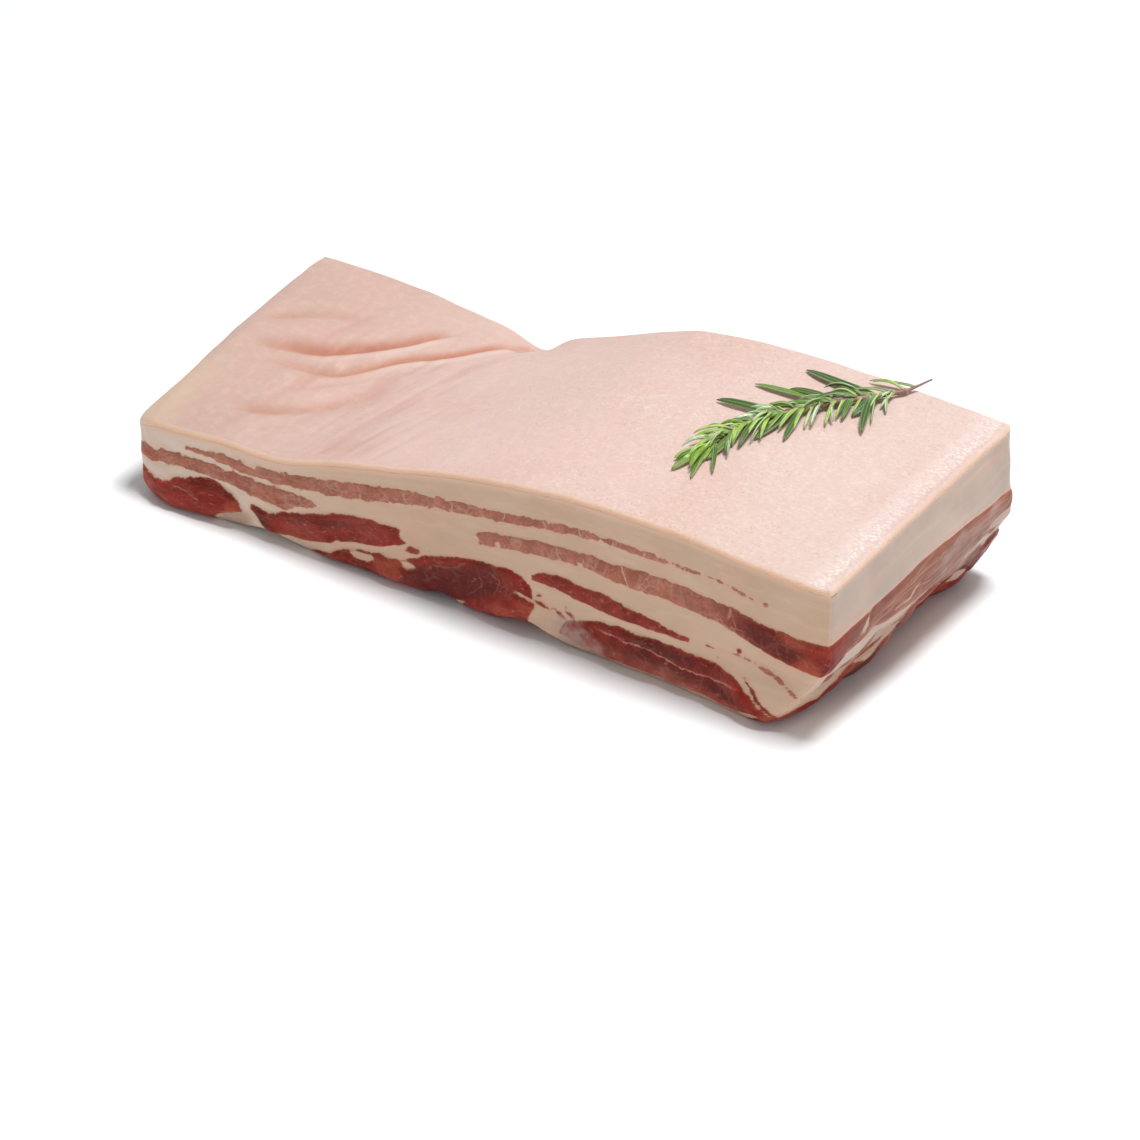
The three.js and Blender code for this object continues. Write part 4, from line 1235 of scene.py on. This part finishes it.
# %% Stem
def loft_rings(rings):
    """Quads between rings of equally many points, and a fan at each end."""
    n, m = len(rings[0]), len(rings)
    middles = [[np.mean(rings[0], 0)], [np.mean(rings[-1], 0)]]
    points = np.concatenate([np.array(r) for r in rings] + middles)
    quads = [[r * n + i, r * n + (i + 1) % n, (r + 1) * n + (i + 1) % n, (r + 1) * n + i]
             for r in range(m - 1) for i in range(n)]
    ends = [[m * n, (i + 1) % n, i] for i in range(n)]
    ends += [[m * n + 1, (m - 1) * n + i, (m - 1) * n + (i + 1) % n] for i in range(n)]
    return points, quads + ends


STEM_RINGS, STEM_SIDES, JOINTS = 150, 12, 22
HEEL_JOINT, HEEL_SWELL = 0.125, 0.4  # where the heel's strip of bark ends, and the joint's swelling
FIRST_JOINT = 0.15  # share of the stem's length where the first pair of needles grows
joints = [lerp(FIRST_JOINT, 1, (p / (JOINTS - 1)) ** 0.86) for p in range(JOINTS)]
radii = [station[3] for station in STEM]
rings = []
for r in range(STEM_RINGS + 1):
    t = r / STEM_RINGS
    centre, ahead = stem_at(t)
    side = np.cross(ahead, (0, 0, 1))
    side /= np.linalg.norm(side)
    over = np.cross(side, ahead)
    radius = np.interp(t * (len(STEM) - 1), range(len(STEM)), radii)
    joint = max(bell(t - place, 0.008) for place in joints)
    radius += HEEL_SWELL * bell(t - HEEL_JOINT, 0.013)
    ring = []
    for a in np.linspace(0, 2 * pi, STEM_SIDES, endpoint=False):
        ridged = 1 + 0.16 * joint + 0.07 * sin(3 * a + 9 * t) + 0.05 * sin(5 * a)
        ring.append(centre + (side * cos(a) + over * sin(a)) * radius * ridged)
    rings.append(ring)
points, faces = loft_rings(rings)
stem = mesh_piece("rosemary_stem", points, faces)
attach(stem, "root")


# %% [markdown]
# ## The needles
#
# A rosemary needle is a narrow leaf whose edges are rolled under: from above it is glossy green
# with a groove along it, and from below it is white and downy with a raised midrib. Each is lofted
# through rings of points that draw that section, and rolled about its own line so that some show
# their pale side. The big ones that give the sprig its outline are placed one by one. The short
# young ones that hug the stem between them are scattered.

# %% Section and outline of a needle
NEEDLE_RINGS = 14
# The section: across from -1 to 1, up in half thicknesses, and whether it is on the underside.
SECTION = [
    [-1, -0.1, 0.5], [-0.62, 0.75, 0], [-0.16, 0.72, 0], [0, 0.42, 0], [0.16, 0.72, 0],
    [0.62, 0.75, 0], [1, -0.1, 0.5], [0.7, -0.75, 0.5], [0.3, -0.2, 1], [0.12, -0.3, 1],
    [0, -0.75, 1], [-0.12, -0.3, 1], [-0.3, -0.2, 1], [-0.7, -0.75, 0.5],
]
needle_width = through([[0, 0.5], [0.12, 0.85], [0.4, 1], [0.75, 0.9], [0.93, 0.5], [1, 0.12]])
print("points around a needle:", len(SECTION), "and rings along it:", NEEDLE_RINGS + 1)

# %% The needles that give the outline
# Each: the share of the stem where it grows, the angle that it leaves at (above zero on the near
# side), its length, its width, how high it arches, and how far it is rolled about its own line.
LEADING = [
    [0.25, -56, 31, 5.0, 0.5, -0.1], [0.08, -50, 17, 1.9, 1.2, -0.5],
    [0.30, -42, 15, 1.6, 4.2, 1.9], [0.43, -51, 31, 3.5, 0.4, -0.1], [0.41, -50, 19, 2.8, 2, 0.2],
    [0.33, -12, 15, 2.4, 4, -0.2], [0.54, -25, 14, 2.4, 2.5, 2.7], [0.62, -51, 26, 3.3, 0.5, 0.5],
    [0.72, -24, 13, 1.8, 2.5, 0.2], [0.82, -72, 11, 1.4, 1.5, 0.3], [0.89, -20, 13, 1.9, 1, -0.4],
    [0.26, 54, 23, 2.9, 1.8, 0.2], [0.23, 31, 16, 3.6, 1.2, 0.1], [0.24, 58, 17, 1.7, 1.2, 1.7],
    [0.20, 64, 11, 1.7, 1, 2.4], [0.35, 40, 10, 1.6, 1.5, 0.8], [0.43, 74, 11, 1.5, 2.4, 2.4],
    [0.46, 48, 14, 2.1, 3, 2.6], [0.54, 48, 20, 2.6, 1.0, 0.2], [0.57, 27, 22, 3.4, 0.8, 0.2],
    [0.63, 30, 20, 2.4, 3.4, 1.9], [0.72, 33, 17, 2.3, 2.4, 0.3], [0.80, 17, 21, 3.1, 0.8, 0.2],
    [0.84, 42, 14, 2.0, 2.5, 2.2], [0.92, 42, 18, 1.8, 1.2, 0.5], [0.96, 20, 15, 2.6, 0.8, 0.1],
    [0.99, 30, 16, 2.1, 0.6, -0.2], [1.0, -2, 14, 2.6, 0.6, 0.2], [0.98, -16, 12, 2.1, 1.6, 0.9],
    [0.95, 8, 14, 2.0, 2.4, -0.6], [0.17, 12, 8, 2.6, 1.6, 2.8], [0.66, 8, 9, 2.8, 3.6, 2.7],
]
plans = []
for i, (share, turn, length, width, lift, roll) in enumerate(LEADING):
    plans.append({
        "start": share, "turn": radians(turn), "length": length, "width": width, "lift": lift,
        "roll": roll, "curl": 0.25 * (scatter(i, 6) - 0.4) * np.sign(turn),
    })
print("leading needles:", len(plans))

# %% The young needles between them
YOUNG_NEEDLES = 60
TURNED_OVER = 0.6  # a needle that draws more than this shows its white underside
for i in range(YOUNG_NEEDLES):
    side, share = (1 if i % 2 else -1), lerp(0.13, 1, (i / YOUNG_NEEDLES) ** 0.75)
    turn = side * lerp(44, 10, share**1.5) + 46 * (scatter(i, 2) - 0.5)
    roll = side * lerp(-0.7, 0.9, scatter(i, 7))
    roll = roll + (1.9 * side if scatter(i, 8) > TURNED_OVER else 0)
    plans.append({
        "start": share, "turn": radians(turn), "length": lerp(7.5, 15.5, scatter(i, 3)),
        "width": lerp(1.2, 2.1, scatter(i, 4)), "lift": 0.5 + 3.6 * scatter(i, 5),
        "roll": roll, "curl": side * lerp(-0.35, 0.25, scatter(i, 9)),
    })
for i, plan in enumerate(plans):
    young = i >= len(LEADING)
    plan["tint"] = plan["start"] + 0.5 * (scatter(i, 10) - 0.5) + (0.25 if young else -0.1)
    plan["tone"] = scatter(i, 11) + 0.15 if young else 0.5 * scatter(i, 11) - 0.05
print("needles in all:", len(plans))

# %% Needle mesh
all_points, all_faces, under, tint, tone, base_share, across = [], [], [], [], [], [], []
for plan in plans:
    root, ahead = stem_at(plan["start"])
    heading0 = Vector((ahead[0], ahead[1], 0)).normalized()
    x, y = root[0], root[1]
    root_lift = root[2] - rind_under(x, y)
    rings = []
    for k in range(NEEDLE_RINGS + 1):
        t = k / NEEDLE_RINGS
        heading = heading0.copy()
        heading.rotate(Matrix.Rotation(plan["turn"] + plan["curl"] * t, 3, "Z"))
        half = plan["width"] / 2 * float(needle_width(t))
        thick = 0.5 * (float(needle_width(t)) ** 0.5)
        arch = plan["lift"] * sin(pi * min(1, 0.75 * t + 0.1))
        roll = plan["roll"] * float(fade(t, 0, 0.4))
        lowest = 0.3 + thick + half * abs(sin(roll))
        lift = max(lerp(root_lift, lowest + 0.3, float(fade(t, 0, 0.75))) + arch, lowest)
        centre = np.array([x, y, rind_under(x, y) + lift])
        side = np.array(heading.cross(Vector((0, 0, 1))))
        rings.append([
            centre + side * (half * a * cos(roll) - thick * b * sin(roll))
            + np.array((0, 0, 1)) * (half * a * sin(roll) + thick * b * cos(roll))
            for a, b, _ in SECTION
        ])
        x = x + heading.x * plan["length"] / NEEDLE_RINGS
        y = y + heading.y * plan["length"] / NEEDLE_RINGS
    points, faces = loft_rings(rings)
    offset = sum(len(p) for p in all_points)
    all_points.append(points)
    all_faces += [[offset + v for v in f] for f in faces]
    under += [s[2] for s in SECTION] * len(rings) + [0.5, 0.5]
    across += [abs(s[0]) for s in SECTION] * len(rings) + [0.5, 0.5]
    base_share += [k / NEEDLE_RINGS for k in range(len(rings)) for _ in SECTION] + [0, 1]
    tint += [plan["tint"]] * len(points)
    tone += [plan["tone"]] * len(points)

needles = mesh_piece("rosemary_needles", np.concatenate(all_points), all_faces, {
    "under": under, "tint": tint, "tone": tone, "share": base_share, "across": across,
})
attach(needles, "root")
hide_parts("rosemary_sprig")


# %% [markdown]
# ## Rosemary's finish
#
# The needles are dark green near the heel and yellow-green at the growing tip. The section's own
# numbers say which points are on the underside, so the white down follows the leaf exactly. The
# stem is brown with a purple cast, streaked along its length.

# %% Needle green
g = Graph("rosemary_needle")
where = g.place()
HEEL_GREEN, TIP_GREEN = (0.075, 0.15, 0.055), (0.25, 0.43, 0.02)
green = g.coats(
    HEEL_GREEN,
    (g.ramp(g.attribute("tint"), 0.2, 0.95), TIP_GREEN),
    (g.ramp(g.attribute("tone"), 0.5, 0.0, 0, 0.85), (0.035, 0.09, 0.012)),
    (g.ramp(g.attribute("tone"), 0.55, 1.0, 0, 0.75), (0.50, 0.70, 0.14)),
    (g.ramp(g.noise(where, 350, 3, 0.6), 0.4, 0.7, 0, 0.4), (0.045, 0.11, 0.015)),
    # The rolled-under margins are paler, and lightened further as a painted highlight.
    (g.ramp(g.attribute("across"), 0.6, 1.0, 0, 0.75), (0.60, 0.74, 0.38)),
    # A lighter stripe along the groove is a painted highlight.
    (g.ramp(g.attribute("across"), 0.14, 0.0, 0, 0.45), (0.42, 0.58, 0.18)),
    (g.ramp(g.attribute("share"), 0.35, 0.0, 0, 0.6), (0.40, 0.52, 0.22)),
)
down = g.ramp(g.noise(where, 900, 2, 0.5), 0.3, 0.7)
white = g.mix(down, (0.60, 0.71, 0.50), (0.84, 0.90, 0.76))
g.finish(
    needles,
    Base_Color=g.mix(g.ramp(g.attribute("under"), 0.45, 0.9), green, white),
    Roughness=0.42,
    Normal=g.bump(g.noise(where, 1300, 2, 0.5), 0.0001, 0.6),
)

# %% Bark
g = Graph("rosemary_bark")
where = g.place()
bark = g.coats(
    (0.24, 0.10, 0.085),
    (g.ramp(g.noise(where, 260, 3, 0.6), 0.35, 0.65), (0.42, 0.25, 0.20)),
    (g.ramp(g.noise(where, 900, 2, 0.6), 0.5, 0.7, 0, 0.5), (0.10, 0.045, 0.04)),
)
bark_bump = g.bump(g.noise(where, 1000, 3, 0.6), 0.00015, 0.8)
g.finish(stem, Base_Color=bark, Roughness=0.6, Normal=bark_bump)


# %% [markdown]
# ## The studio
#
# The slab lies on a plain white surface under soft light. A panel high overhead, a little behind
# and to the right, lights the rind evenly and leaves the cut faces in the gentler light that the
# floor throws back. A pale room all around keeps the shadows open, and a weak panel in front
# fills them.

# %% Floor
FLOOR_REACH = 4.0  # metres from the middle to each edge
corners = [(x * FLOOR_REACH, y * FLOOR_REACH, 0) for x, y in ((-1, -1), (1, -1), (1, 1), (-1, 1))]
floor_mesh = bpy.data.meshes.new("studio_floor")
floor_mesh.from_pydata(corners, [], [(0, 1, 2, 3)])
floor = bpy.data.objects.new("studio_floor", floor_mesh)
bpy.context.scene.collection.objects.link(floor)
g = Graph("studio_white")
paper = g.ramp(g.noise(g.place(), 3, 2, 0.5), 0.3, 0.7)
paper = g.mix(paper, (0.93, 0.945, 0.95), (0.95, 0.965, 0.97))
g.finish(floor, Base_Color=paper, Roughness=0.9)


# %% Lights
MIDDLE_OF_SLAB = (0, 0, 0.03)


def softbox(name, place, size, power):
    """A square soft light of that size in metres, hung at `place` and turned towards the slab."""
    data = bpy.data.lights.new(name, "AREA")
    data.shape, data.size, data.energy = "SQUARE", size, power
    lamp = bpy.data.objects.new(name, data)
    lamp.location = place
    from_slab = Vector(place) - Vector(MIDDLE_OF_SLAB)
    lamp.rotation_euler = from_slab.to_track_quat("Z", "Y").to_euler()
    bpy.context.scene.collection.objects.link(lamp)
    print(name, "at", place, "with", power, "watts")


softbox("overhead_panel", (0.42, 0.15, 1.8), size=0.5, power=30.5)
softbox("front_fill", (0.45, -1.5, 0.5), size=0.8, power=0.4)

# %% The pale room
ROOM_COLOUR, ROOM_STRENGTH = (0.98, 1.0, 1.01, 1), 0.40
world = bpy.data.worlds.new("studio")
bpy.context.scene.world = world
world.use_nodes = True
room = world.node_tree.nodes["Background"].inputs
room["Color"].default_value, room["Strength"].default_value = ROOM_COLOUR, ROOM_STRENGTH
bpy.context.scene.view_settings.view_transform = "Standard"
print("room light:", ROOM_COLOUR[:3], "times", ROOM_STRENGTH)
